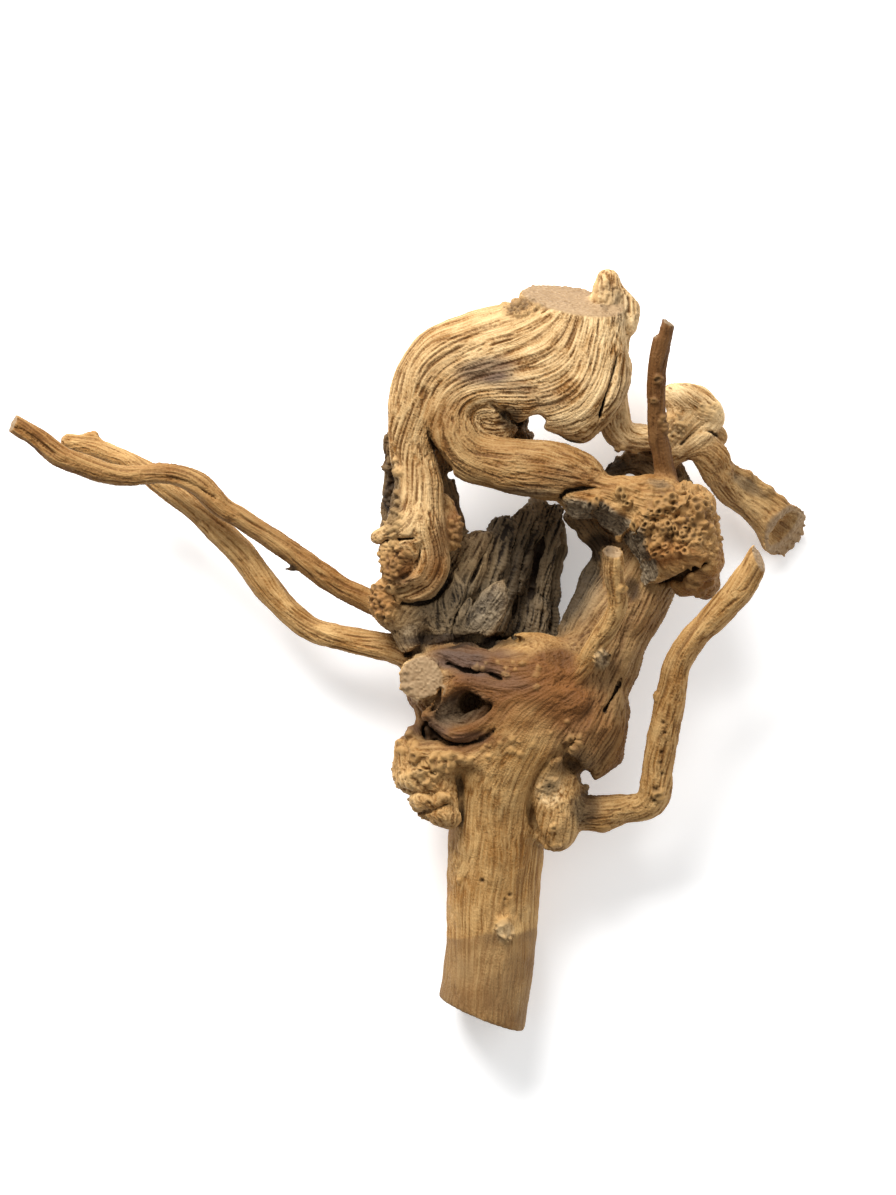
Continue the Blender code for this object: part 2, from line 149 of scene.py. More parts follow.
# limbs: character, thickness over width, how softly it melts into its neighbours,
# then centre-line points (x, y, z, half-width)
limbs = {
    "trunk": ("plain", 0.93, 9, [(37, -258, 25, 26), (44, -218, 25, 27), (49, -180, 26, 27),
        (50.5, -149, 28, 28), (52, -119, 33, 29), (54.5, -92, 39, 29), (58, -68, 45, 32), (64.5, -44, 50, 35),
        (73.5, -23, 52, 35)]),
    "bodyLeft": ("body", 0.9, 9, [(24, -18, 48, 27), (40, -40, 47, 27)]),
    "bodyRight": ("body", 0.88, 9, [(84, -30, 50, 33), (98, -42, 50, 32)]),
    "arm": ("arm", 0.8, 9, [(90.5, -50, 50, 33.5), (107.5, -17, 52, 25.5), (120.5, 10, 50, 22.5),
        (132.5, 31, 48, 22.5), (144, 52, 46, 20.5), (154, 73, 44, 18.5), (158.5, 91, 42, 14.5)]),
    "armBack": ("rear", 0.6, 8, [(99.5, -8, 38, 14.5), (112, 25, 36, 17), (123.5, 49, 36, 15.5),
        (135.5, 70, 36, 13)]),
    "rightLobe": ("body", 0.95, 7, [(111, -46, 48, 18), (113, -58, 48, 14)]),
    "rightLobeLow": ("body", 0.95, 6, [(101, -65, 46, 9), (111, -64, 46, 7)]),
    "rearFill": ("rear", 1, 6, [(97, -66, 38, 11), (97, -82, 38, 11)]),
    "sideKnot": ("lobe", 0.95, 4, [(87, -78, 53, 14), (89, -94, 53, 16), (89, -107, 52, 13)]),
    "lobeA": ("lobe", 1, 2, [(0, -60, 48, 10), (1, -73, 49, 11)]),
    "lobeB": ("lobe", 0.95, 2, [(9, -75, 53, 13), (19, -78, 53, 13)]),
    "lobeC": ("lobe", 1, 2, [(14, -89, 52, 13), (20, -90, 53, 13)]),
    "lobeD": ("lobe", 1, 1.5, [(19, -96, 58, 8.2), (24, -98, 58, 8)]),
    "leftFill": ("burl", 0.9, 3, [(11, -34, 50, 7.5), (9, -46, 50, 7), (7, -57, 50, 8)]),
    "bud": ("burl", 0.8, 2, [(59, -150, 46, 3), (57.5, -160, 49, 4.5), (56, -167, 50, 5)]),
    "lobeE": ("lobe", 0.95, 3, [(8, -62, 58, 8), (26, -64, 59, 8)]),
    "nodules": ("burl", 1, 2, [(1.5, -48, 52, 5), (4, -56, 53, 5.5)]),
    "wartRidge": ("burl", 0.9, 4, [(8.5, -60, 62, 6.5), (27.5, -62.5, 68, 6), (45.5, -63, 70, 5.5),
        (61.5, -65, 68, 5.5)]),
    "bodyRim": ("body", 0.9, 5, [(17, -2.5, 62, 8), (39.5, -7, 68, 9), (60.5, -11, 71, 9),
        (81.5, -11, 72, 9.5), (101, -9.5, 70, 8)]),
    "upperLid": ("body", 0.9, 4, [(17, -19, 68, 3.5), (30.5, -13, 74, 5), (54.5, -21.5, 77, 6),
        (78.5, -24, 77, 8.5), (99.5, -29, 76, 8.5)]),
    "lowerLid": ("body", 0.9, 3, [(10, -36, 62, 3), (20, -45, 67, 3.5), (34, -48.5, 71, 3.5),
        (48.5, -42.5, 72, 4), (56.5, -33, 71, 5)]),
    "stub": ("light", 1, 3, [(16, -17, 48, 12), (8.5, -15.5, 62, 13.5), (7, -15, 80, 12.5)]),
    "rimHigh": ("body", 0.9, 2.5, [(11, -38, 68, 2.5), (18, -29, 74, 3), (24, -21, 77, 3.4),
        (33, -17.5, 79, 3.6)]),
    "rimRight": ("body", 0.9, 2.5, [(33, -17.5, 79, 3.6), (40, -21, 80, 3.6), (48, -26, 80, 3.6),
        (55, -30, 79, 3)]),
    "rimLow": ("body", 0.9, 2.5, [(55, -30, 79, 3), (48, -38, 77, 3.2), (40, -44, 75, 3.4),
        (30, -49, 73, 3.4), (20, -47, 70, 3), (11, -38, 68, 2.5)]),
    "eyeWallLow": ("body", 0.5, 2, [(18, -42, 62, 3), (28, -43, 64, 4.5), (38, -40, 66, 4.5),
        (46, -34, 70, 4)]),
    "eyeWallLeft": ("body", 0.5, 2, [(14, -38, 62, 3.5), (20, -33, 64, 4.5), (26, -27, 66, 4)]),
    "leftLimb": ("limb", 0.8, 5, [(10, 44, 56, 12), (9, 52, 60, 14), (7, 61, 64, 16.5), (4, 70, 66, 18),
        (4, 78, 67, 17), (5, 88, 66, 15.5), (5.5, 104, 66, 14), (1.5, 120, 66, 13), (1, 139, 68, 13.5),
        (5.5, 159, 70, 16), (18.5, 176, 72, 18.5), (38, 183, 72, 20), (62, 187.5, 70, 21.5),
        (86, 188, 68, 23), (108, 186, 64, 18)]),
    "boss": ("limb", 0.95, 4, [(8, 54, 60, 15), (6, 50, 60, 14)]),
    "bossLow": ("limb", 0.9, 4, [(8, 46, 60, 10), (1, 41, 58, 9), (-6, 38, 56, 7)]),
    "lip": ("limb", 0.75, 2.5, [(10, 76, 72, 8), (-2, 73.5, 73, 7.5), (-12, 71, 71, 6),
        (-18.5, 69.5, 68, 4.5), (-21, 69, 66, 3)]),
    "ringRidge": ("limb", 0.9, 1.5, [(4, 67, 75, 1.8), (8, 61, 76, 2), (8.5, 54, 75.5, 2), (5, 47, 74, 2),
        (-2, 42, 71, 2), (-10, 40, 67, 1.8)]),
    "bossRim": ("band", 0.9, 2, [(-9, 33, 60, 1.8), (-4.5, 35, 64, 2), (1.5, 33.5, 65, 2.2), (9, 35, 66, 2.4),
        (16, 42, 67, 2.6), (20.5, 51, 68, 2.6), (21, 58, 68, 2.4)]),
    "lipKnot": ("burl", 1, 3, [(-10, 60, 65, 7.5), (-8, 52, 65, 8.5), (-10, 47, 63, 6.5)]),
    "lipBall": ("burl", 1, 1.2, [(-2.5, 60, 71, 6), (-1.5, 58, 71, 6)]),
    "lowKnot": ("burl", 0.9, 2.5, [(-15, 38, 57, 7), (-15, 29, 57, 8), (-10, 22, 55, 7)]),
    "sideNubs": ("burl", 0.9, 3, [(20, 92, 56, 4), (23, 82, 57, 6.5), (26, 73, 57, 7.5), (24, 66, 56, 5)]),
    "burlLedge": ("ledge", 0.8, 1.5, [(94, 92, 70, 5), (104, 84, 71, 6), (116, 82, 71, 6), (127, 74, 71, 6.5),
        (135, 66, 71, 7), (142, 54, 71, 7), (141, 45, 70, 5)]),
    "crown": ("curl", 0.64, 4, [(100, 160, 70, 28), (99, 188, 68, 30), (98, 212, 66, 30), (98, 220, 65, 30)]),
    "crownLeft": ("curl", 0.6, 3, [(60, 178, 70, 22), (74, 196, 68, 15), (79, 212, 66, 12),
        (80, 218, 65, 12)]),
    # tunnelBack fills the curl's hole from behind; its darkness, from the rear look and a dark patch, is
    # painted shade
    "tunnelBack": ("rear", 1, 3, [(52, 150, 46, 11), (60, 138, 44, 11), (66, 130, 42, 9)]),
    "head": ("curl", 0.52, 8, [(116, 170.5, 64, 18), (101, 164.5, 70, 30), (78.5, 167, 74, 31),
        (54.5, 168, 74, 27.5), (33.5, 163, 74, 23), (23, 150, 74, 18)]),
    "headLip": ("curl", 0.9, 7, [(92, 148, 68, 16), (103, 148, 67, 15), (101, 138, 67, 13)]),
    "headCorner": ("curl", 0.9, 5, [(118, 178, 62, 8), (116, 156, 62, 8)]),
    "crownSide": ("curl", 0.9, 3, [(125, 215, 58, 6), (131, 206, 58, 7.5), (131, 196, 58, 6)]),
    "topKnob": ("curl", 0.95, 2, [(113, 204, 60, 9), (118, 214, 60, 8.5), (119, 222.5, 58, 7.5)]),
    "lowerBand": ("band", 0.85, 3, [(31.5, 158.5, 74, 14.5), (23, 145, 74, 14.5), (24.5, 131, 74, 15),
        (34.5, 118, 73, 14.5), (51.5, 113, 72, 15), (69.5, 110.5, 72, 17), (87.5, 108.5, 72, 17.5),
        (102.5, 104.5, 73, 14.5), (116.5, 96.5, 75, 8), (133.5, 89.5, 76, 7)]),
    "curlFill": ("curl", 0.9, 5, [(36, 141, 64, 16), (52, 141, 63, 15)]),
    "leftBack": ("rear", 0.75, 5, [(-8, 127, 38, 7), (-7, 103, 26, 10), (-4.5, 84, 16, 14), (-1, 61, 16, 16),
        (9.5, 28, 28, 18)]),
    "leftBackRight": ("rear", 0.8, 4, [(18, 118, 48, 6.5), (22.5, 97, 40, 6.5), (25.5, 78, 36, 8),
        (23, 60, 34, 11)]),
    "limbFoot": ("flap", 0.6, 5, [(1.5, 33.5, 52, 14.5), (-3.5, 18, 52, 10), (1.5, 6, 53, 4)]),
    "limbCore": ("rear", 0.9, 5, [(5, 52, 44, 15), (5, 28, 44, 15)]),
    "rightLimb": ("light", 0.85, 2, [(128, 206, 55, 5), (128, 190, 56, 4.5), (125, 168, 56, 5),
        (123.5, 154, 57, 8), (123, 142, 57, 9.5), (126, 132, 56, 9.5), (134, 129, 54, 8.5),
        (144.5, 129, 52, 8.5), (156.5, 126, 48, 7.5)]),
    "tallTwig": ("tall", 0.95, 3, [(153, 197, 104, 5), (149, 180, 99, 5.5), (147, 163, 93, 5.5),
        (147, 148, 88, 5.5), (148, 133, 83, 5.5), (151, 118, 78, 6), (155, 98.5, 72, 6.5)]),
    "knobLimb": ("light", 0.75, 4, [(164, 150, 52, 10), (175, 144, 52, 12.5), (173, 138, 50, 11),
        (163.5, 128.5, 48, 8.5), (155, 120, 46, 6.5)]),
    "knob": ("light", 0.75, 2, [(159, 155, 56, 7), (165, 153, 57, 9), (172, 151, 58, 9.5),
        (179, 145, 57, 9.5), (182, 139, 54, 8)]),
    "knobFill": ("plain", 0.8, 3, [(167, 146, 52, 11), (163, 137, 51, 10), (157, 128, 49, 9)]),
    "knobBump": ("light", 0.9, 1.5, [(166, 157, 60, 4), (172, 152, 63, 4.5), (180, 147, 62, 4)]),
    "strap": ("light", 0.5, 2, [(182, 138, 57, 6), (174, 133, 59, 8), (165, 125, 58, 8), (157, 117, 54, 6)]),
    "strapSide": ("light", 0.8, 1.5, [(172, 144, 59, 4), (163, 137, 60, 4.5), (157, 129, 58, 4),
        (152, 121, 54, 4)]),
    "twistLimb": ("twist", 0.8, 2.5, [(157, 115, 46, 6), (165, 121, 50, 8.5), (174, 123, 52, 10.5),
        (182, 117, 49, 11), (187, 107, 43, 10), (194, 97, 36, 9), (207, 89, 27, 9.5), (219, 81, 21, 12.5),
        (229, 73, 17, 17), (236, 67, 15, 17)]),
    "kneeFill": ("plain", 0.8, 2, [(170, 135, 44, 8), (184, 130, 42, 8)]),
    "kneeRidge": ("ledge", 0.7, 2, [(191, 112, 45, 4), (201, 107, 39, 5), (211, 100, 33, 5),
        (222, 92, 26, 4.5), (234, 84, 22, 4)]),
    "rearBridge": ("rear", 0.8, 4, [(118.5, 104.5, 44, 3.5), (128.5, 112, 40, 6.5), (141.5, 114, 36, 11),
        (153.5, 106, 36, 13), (158.5, 88, 38, 15.5)]),
    "rearLump": ("rear", 0.8, 4, [(103.5, 81.5, 48, 9.5), (114.5, 69.5, 44, 8.5), (127.5, 55, 42, 12)]),
    "burlMain": ("burl", 0.6, 4, [(142, 82, 79, 17), (162, 74, 80, 20)]),
    "burlBumpA": ("burl", 0.9, 3, [(146, 88, 82, 9), (158, 90, 83, 8)]),
    "burlBumpB": ("burl", 0.9, 3, [(168, 78, 84, 10), (172, 66, 83, 9)]),
    "burlBumpC": ("burl", 0.9, 3, [(152, 72, 83, 9), (158, 62, 82, 8)]),
    "burlRight": ("burl", 0.85, 4, [(170, 87, 76, 14), (170, 62, 78, 16)]),
    "burlTop": ("burl", 0.95, 4, [(120, 96, 78, 9), (138, 94, 79, 12), (152, 92, 79, 13)]),
    "burlArm": ("burl", 0.9, 3, [(97, 95, 75, 7), (108, 91, 77, 8.5), (124, 86, 78, 9)]),
    "burlLow": ("burl", 0.95, 5, [(160, 56, 77, 12), (176, 55, 77, 12)]),
    "burlEdge": ("burl", 0.95, 3, [(142, 66, 76, 9), (148, 50, 74, 8)]),
    "burlLobe": ("burl", 1, 3, [(169, 45, 64, 12), (175, 44, 64, 12)]),
    "burlCore": ("burl", 1, 6, [(157, 82, 60, 17), (157, 60, 60, 17)]),
    "longTwigA": ("twig", 0.95, 3, [(0.5, 17, 42, 8), (-17.5, 27, 44, 7.5), (-41.5, 39.5, 46, 7),
        (-65.5, 56, 49, 7), (-89.5, 72.5, 53, 6.5), (-101.5, 80.5, 56, 6.5), (-113.5, 88, 58, 7),
        (-125, 100, 60, 7.5), (-137.5, 106, 61, 6.5), (-149.5, 107.5, 61, 6), (-161.5, 106, 61, 6),
        (-173.5, 106, 61, 6.5), (-185.5, 108.5, 62, 6.5), (-197.5, 113, 63, 6.5), (-209.5, 118, 65, 6.5),
        (-221.5, 128, 67, 6), (-237, 137, 70, 5.5)]),
    "longTwigB": ("stem", 0.95, 3, [(13.5, -7, 40, 9), (-5.5, 1, 39, 8.5), (-29.5, 6, 37, 8),
        (-53.5, 11.5, 36, 7.5), (-65.5, 18, 36, 7.5), (-77.5, 29, 36, 8), (-89.5, 43, 36, 8.5),
        (-101.5, 59.5, 36, 8), (-113.5, 71.5, 36, 8), (-125.5, 83, 35, 7), (-137.5, 93, 34, 7),
        (-149.5, 102, 33, 7), (-161.5, 110.5, 31, 6.5), (-173.5, 116.5, 29, 6.5), (-185.5, 122, 27, 6.5),
        (-197.5, 125.5, 25, 5.8), (-207, 128, 23, 5)]),
    "thorn": ("twig", 1, 1, [(-66, 52, 50, 2.2), (-70.5, 49.8, 50, 1.6), (-75, 50.5, 50, 1.3)]),
    "tipFork": ("stem", 0.9, 2, [(-201, 124.5, 26, 3.5), (-196, 129, 26, 4), (-191, 130.5, 26, 3.5)]),
    "elbow": ("stem", 0.95, 3, [(93.5, -96, 48, 12.5), (105.5, -96.5, 47, 10.7), (116.5, -97, 46, 10.7),
        (129.5, -94, 45, 8.8), (140, -93, 46, 8.4), (147, -87, 49, 9.7), (148.5, -74, 53, 9.3),
        (151.5, -54, 58, 9.2), (155.5, -33.5, 63, 9.2), (158, -18.5, 67, 8.4), (161, -5.5, 70, 7.8),
        (170.5, 9, 74, 7.8), (185.5, 24.5, 79, 8.3), (199, 41, 84, 8.6), (208, 58, 88, 6.5)]),
    "frontTwig": ("stem", 0.95, 5, [(97.5, -18, 74, 3.5), (106.5, -3.5, 80, 5.5), (115, 9.5, 88, 6.5),
        (122, 21.5, 96, 6), (124, 31, 101, 6), (121.5, 44.5, 108, 6), (120, 60, 114, 6)]),
    "ribStart": ("flap", 0.6, 3, [(5, -8, 40, 10), (11, 20, 40, 11), (22, 46, 38, 9)]),
    "sheetBack": ("torn", 0.3, 3, [(34, -12, 24, 20), (44, 20, 22, 24), (56, 46, 20, 22), (66, 66, 19, 16)]),
    "gapBack": ("torn", 0.8, 4, [(8, 6, 30, 8), (30, 6, 26, 9), (56, 6, 24, 9), (76, 8, 24, 8)]),
    "sheetRight": ("torn", 0.4, 3, [(64, -14, 17, 16), (73, 22, 15, 17), (80, 50, 14, 14), (86, 76, 15, 8)]),
    "ribA": ("flap", 0.5, 1.5, [(14, -12, 44, 10), (22, 22, 42, 12), (34, 50, 40, 12.5), (42, 66, 38, 9)]),
    "ribB": ("torn", 0.5, 1.5, [(28, -14.5, 36, 10), (38, 22, 34, 12), (48, 52, 33, 12.5), (56, 74, 32, 9)]),
    "ribC": ("torn", 0.5, 1.5, [(42, -17, 33, 10), (51, 22, 30, 11), (61, 55, 29, 11.5), (70, 81, 28, 8)]),
    "ribD": ("torn", 0.5, 1.5, [(56, -18, 29, 10), (64, 22, 23, 10), (72, 55, 22, 10.5), (80, 86, 22, 7)]),
    "ribE": ("torn", 0.5, 1.5, [(68, -18, 30, 8.5), (76, 22, 25, 8.5), (81, 55, 24, 8), (89, 86, 24, 6)]),
    "frontFlap": ("flap", 0.35, 2, [(14, 44, 52, 14), (22, 28, 51, 16), (25, 16, 49, 12)]),
    "flapFoot": ("flap", 0.6, 1.2, [(-6, 16, 51, 6), (-1, 6, 53, 7), (5, 1, 54, 5)]),
    "flake": ("flap", 0.26, 0.6, [(35, 9, 51, 6), (43, 18, 53, 10), (50, 30, 54, 9), (56.5, 43, 52, 3)]),
}
# limbs that grow over the cuts and hollows
lateLimbs = ("topKnob", "rimHigh", "rimRight", "rimLow", "eyeWallLow", "eyeWallLeft", "crownSide")
growSettings = {
    "step": 3.0,  # mm between the rings of a limb
    "skin": 9.0,  # how far round a limb its distance is worked out
    "farOff": 30.0,  # distance stored where no limb is near
}


def growField(field, axes, late):
    # the whole piece as one signed distance field, limb by limb; some grow over the cuts
    step, skin, farOff = growSettings.values()
    for name, (style, flat, melt, points) in limbs.items():
        if (name in lateLimbs) != late:
            continue
        path = smoothPath(points, step)
        reach = path[:, 3].max() + skin
        whole = subBox(axes, path[:, :3].min(0) - reach, path[:, :3].max(0) + reach)
        own = np.full(tuple(s.stop - s.start for s in whole), farOff, np.float32)
        for a, b, part, x, y, z in stretches(axes, path, skin, 3):
            d = tubeDistance(x, y, z, a, b, flat).astype(np.float32)
            local = tuple(slice(p.start - w.start, p.stop - w.start) for p, w in zip(part, whole))
            np.minimum(own[local], d, out=own[local])
        field[whole] = meltMin(field[whole], own, melt)
    return field


# hollows: centre, half-sizes, turn about Z in degrees, softness of the rim
hollows = {
    "eyeMouth": ((33, -33, 80), (21, 13, 17), 10, 2),
    "eyeDepth": ((38, -30, 62), (8.5, 7.5, 19), 20, 2),
    "curlEye": ((74, 136.5, 74), (9, 5.5, 40), 25, 2),
    "brokenEnd": ((229, 74, 20), (13.5, 9.5, 7.5), 42, 0.8),
    "brokenTear": ((236, 65, 14), (9, 6, 8), 8, 0.8),
    "reddishHollow": ((91, -3, 90), (13, 9, 14), -25, 3),
    "armCavity": ((98, -72, 76), (9, 8, 12), 20, 2),
}
# saw cuts: a point on the cut, the direction of the wood that was removed, its reach
sawCuts = {
    "foot": ((43.5, -219.5, 24), (-0.372, -0.925, -0.08), 60),
    "headTop": ((90, 204, 85), (0.15, 0.9, 0.41), 60),
    "stubEnd": ((7, -15, 75), (-0.15, 0.1, 1), 17),
    "tallTip": ((153, 196, 104), (0.45, 0.85, 0.3), 9),
    "frontTip": ((120, 60, 115), (0.1, 0.75, 0.65), 9),
    "elbowTip": ((209, 52, 91), (0.8, 0.42, 0.42), 12),
    "twigTip": ((-237.5, 136.5, 70), (-0.75, 0.35, 0.3), 9),
}
# a torn end, ragged: same form
tornEnds = {
    "twistEnd": ((233, 70, 9), (0.62, -0.5, 0.6), 28),
}
# broken faces, weathered grey: same form
breaks = {
    "ledgeArm": ((102, 88, 80), (-0.25, -0.8, 0.55), 13),
    "ledgeMiddle": ((121, 81, 81), (-0.5, -0.65, 0.57), 12),
    "ledgeSide": ((139, 62, 80), (-0.78, -0.36, 0.52), 14),
    "ledgeFoot": ((145, 46, 77), (-0.8, -0.25, 0.55), 10),
}
# how far the face of each kind of cut waves, in mm
waves = {"sawn": 0.0, "torn": 1.0, "broken": 0.35}


def cutField(field, axes):
    # hollows, then the flat cuts, torn ends and breaks
    for centre, halves, turn, rim in hollows.values():
        part, x, y, z = around(axes, centre, centre, max(halves) + 4)
        spot = (*turned(x - centre[0], y - centre[1], turn), z - centre[2])
        d = ovalDistance([q / half for q, half in zip(spot, halves)], halves)
        field[part] = -meltMin(-field[part], d, rim)
    for cuts, kind in ((sawCuts, "sawn"), (tornEnds, "torn"), (breaks, "broken")):
        for point, outward, reach in cuts.values():
            n = np.array(outward) / np.linalg.norm(outward)
            part, x, y, z = around(axes, point, point, reach)
            plane = (x - point[0]) * n[0] + (y - point[1]) * n[1] + (z - point[2]) * n[2]
            wave = (np.sin(0.9 * x + 0.5 * z) * np.sin(0.8 * y + 1.1)
                    + 0.5 * np.sin(1.9 * x + 1.3 * y + 0.7 * z))
            plane = plane.astype(np.float32) + waves[kind] * wave.astype(np.float32)
            close = (x - point[0]) ** 2 + (y - point[1]) ** 2 < reach ** 2
            field[part] = np.where(close, np.maximum(field[part], plane), field[part])
    return field


# creases between limbs, seen from above: points (x, y, half-width, depth) in mm
creases = {
    "limbToCurl": [(11, 134, 0.6, 2), (12.5, 128, 1, 6), (16, 121, 1.5, 12), (22, 112, 2, 16),
        (25, 106, 2, 14)],
    "headToLimb": [(124, 178, 0.4, 2), (121, 166, 0.5, 3), (117, 154, 0.6, 4), (113, 140, 0.8, 6)],
    "underLip": [(-16, 66, 0.6, 2), (-10, 67.5, 0.9, 4), (-3, 68, 0.9, 4), (4, 68.5, 0.7, 2)],
    "bossInner": [(7, 65, 0.5, 1.2), (6, 57, 0.6, 1.4), (2, 49, 0.6, 1.4), (-5, 45, 0.6, 1.4)],
    "underBoss": [(26, 54, 0.6, 2), (23, 42, 1, 5), (14, 32, 1.2, 6), (2, 29, 1.2, 5), (-7, 30, 0.8, 3)],
    "armCave": [(93, -62, 2.4, 4), (99, -68, 4.2, 8), (105, -74, 4.2, 9), (111, -79, 3, 8)],
    "eyeCrackLow": [(12, -40, 0.7, 3), (8, -46, 0.9, 5), (10, -53, 0.9, 5)],
    "eyeCrackHigh": [(12, -36, 0.7, 3), (17, -30, 0.8, 4), (19, -22, 0.8, 4)],
    "rimFold": [(22, -6, 0.7, 3), (34, -11, 0.8, 4), (46, -12, 0.8, 4), (56, -16, 0.7, 3)],
    "besideKnob": [(160, 112, 1.2, 5), (168, 113, 1.6, 8), (175, 107, 1.6, 8), (180, 98, 1.2, 6)],
    "bandOverBurl": [(89, 91, 0.5, 2), (93, 96, 0.7, 4), (102, 98, 0.8, 4), (112, 98.5, 0.6, 3)],
    "curlInner": [(66, 137, 2.5, 9), (56, 143, 2, 6), (48, 149, 1.2, 3)],
    "underRim": [(-3, -2, 1, 4), (5, 1, 1.6, 7), (19, 5, 2.2, 9), (38, 8, 2.4, 9), (56, 8, 2.2, 9),
        (68, 7, 1.4, 5)],
    "belowLid": [(8, -38, 1, 4), (16, -48, 1.2, 6), (30, -54, 1.1, 5), (42, -52, 0.9, 3), (52, -46, 0.7, 2)],
    "lobeToBody": [(84, -64, 1.5, 2.5), (92, -58, 2, 3.5), (99, -52, 1.6, 3)],
    "knotToTrunk": [(82, -66, 1.4, 1.6), (75, -76, 2, 2.2), (72, -88, 2.2, 2.6), (74, -102, 2.2, 2.8),
        (80, -114, 2, 3)],
    "lobesToTrunk": [(28, -66, 1.2, 1.2), (30, -78, 1.6, 1.6), (31, -92, 1.4, 2), (31, -104, 1.2, 2)],
    "lobesApart": [(-4, -80, 1.5, 3), (6, -84, 1.8, 3), (14, -86, 1.6, 2.5), (22, -82, 1.2, 2)],
    "lobesApartLow": [(4, -96, 1.4, 3), (14, -94, 1.4, 2.5), (24, -90, 1.2, 2)],
    "armSplit": [(127, -16, 0.4, 2), (122, -26, 0.55, 3.5), (116, -36, 0.5, 3)],
    "kneeFold": [(172, 132, 0.4, 1), (179, 133, 0.6, 1.6), (185, 130, 0.5, 1.2)],
    "burlLobeFold": [(148, 42, 0.8, 5), (157, 44, 1.3, 9), (164, 47, 1.5, 10), (171, 52, 1.4, 9),
        (178, 54, 0.9, 5)],
    "strapGroove": [(178, 138, 0.4, 1), (170, 132, 0.6, 2), (162, 124, 0.5, 2)],
    "twigGroove": [(-116, 92, 0.3, 0.8), (-130, 101, 0.35, 1.1), (-144, 105, 0.3, 0.8)],
    "twigCrack": [(-212, 118, 0.3, 0.8), (-222, 126, 0.35, 1.1), (-234, 135, 0.45, 1.5)],
    "flapCrack": [(27, 6, 0.4, 2), (26, 16, 0.5, 3), (30, 26, 0.5, 3), (36, 34, 0.4, 2)],
    "tearA": [(55, 48, 0.5, 3), (60, 62, 0.9, 6), (65, 76, 0.6, 4)],
    "tearB": [(57, 6, 0.7, 4), (62, 24, 1.3, 6), (65, 46, 1.3, 7), (73, 72, 1.1, 6), (77, 86, 0.7, 4)],
    "budCrack": [(56.5, -152, 0.25, 0.5), (58.5, -160, 0.3, 0.7)],
    "tearC": [(73, 30, 0.5, 2), (77, 56, 0.7, 3), (84, 78, 0.5, 2)],
    "tearD": [(32, 30, 0.4, 1.5), (38, 44, 0.6, 3), (46, 62, 0.6, 3), (50, 70, 0.4, 1.5)],
}
foldSettings = {
    "step": 2.0,  # mm between the rings of a crease
    "spare": 3,
    "rim": 1.6,  # softness of its edge
}


def foldField(field, axes, top):
    # deep creases: tall narrow cuts that follow the surface
    step, spare, rim = foldSettings.values()
    for line in creases.values():
        line = np.array(line, float)
        heights = topAt(top, line[:, 0], line[:, 1])
        path = smoothPath(np.column_stack([line[:, :2], heights, line[:, 2:]]), step)
        for a, b, part, x, y, z in stretches(axes, path, spare, 4):
            start, end = (np.array([p[0], p[1], 0.0, p[3]]) for p in (a, b))
            surface = 0.5 * (a[2] + b[2])
            squash = a[3] / a[4]
            d = tubeDistance(x, y, (z - surface) * squash, start, end, 1.0).astype(np.float32)
            field[part] = -meltMin(-field[part], d, rim)
    return field


def corners(q, rounded):
    # the eight grid spots round each point, with the share of each
    base = np.floor(q).astype(np.int32)
    f = (q - base).astype(np.float32)
    if rounded:
        f = f * f * (3 - 2 * f)
    for corner in range(8):
        bits = np.array([(corner >> k) & 1 for k in range(3)])
        yield base + bits, np.prod(np.where(bits, f, 1 - f), axis=1)


def lookup(volume, points, cell):
    # value of a grid at each point, blended between its eight neighbours
    shape = np.array(volume.shape[:3])
    out = 0
    for i, w in corners((points - gridLow) / cell, False):
        i = np.minimum(np.maximum(i, 0), shape - 1)
        value = volume[i[:, 0], i[:, 1], i[:, 2]]
        out = out + (w[:, None] * value if value.ndim > 1 else w * value)
    return out


def softNoise(size, seed, passes):
    # a block of random values that repeats, rounded a little
    block = np.random.default_rng(seed).standard_normal((size,) * 3).astype(np.float32)
    for _ in range(passes):
        block = blurred(block)
    return block / block.std()


def cloud(points, cell, seed):
    # smooth lumps about 2 cells wide
    size = 32
    block = softNoise(size, seed, 0)
    out = np.zeros(len(points), np.float32)
    for i, w in corners(points / cell, True):
        i %= size
        out += w * block[i[:, 0], i[:, 1], i[:, 2]]
    return out


bareFloor = -50.0  # height given where there is no wood


def topHeights(field):
    # highest wood above each spot of the floor
    solid = field < 0
    z = gridAxes(gridSettings["cell"])[0][2]
    highest = solid.shape[2] - 1 - np.argmax(solid[:, :, ::-1], axis=2)
    return np.where(solid.any(2), z[highest], bareFloor).astype(np.float32)


def topAt(top, x, y):
    low, cell = gridSettings["low"], gridSettings["cell"]
    i = np.clip(np.round((np.asarray(x) - low[0]) / cell).astype(int), 0, top.shape[0] - 1)
    j = np.clip(np.round((np.asarray(y) - low[1]) / cell).astype(int), 0, top.shape[1] - 1)
    return top[i, j]


# the six different entries of a symmetric 3 x 3 table
tensorPairs = ((0, 0), (1, 1), (2, 2), (0, 1), (0, 2), (1, 2))


def pullGrain(tensor, part, along, weight, pull=1.0):
    # adds one direction of grain; opposite directions count as the same
    for k, (i, j) in enumerate(tensorPairs):
        tensor[part + (k,)] += pull * along[i] * along[j] * weight


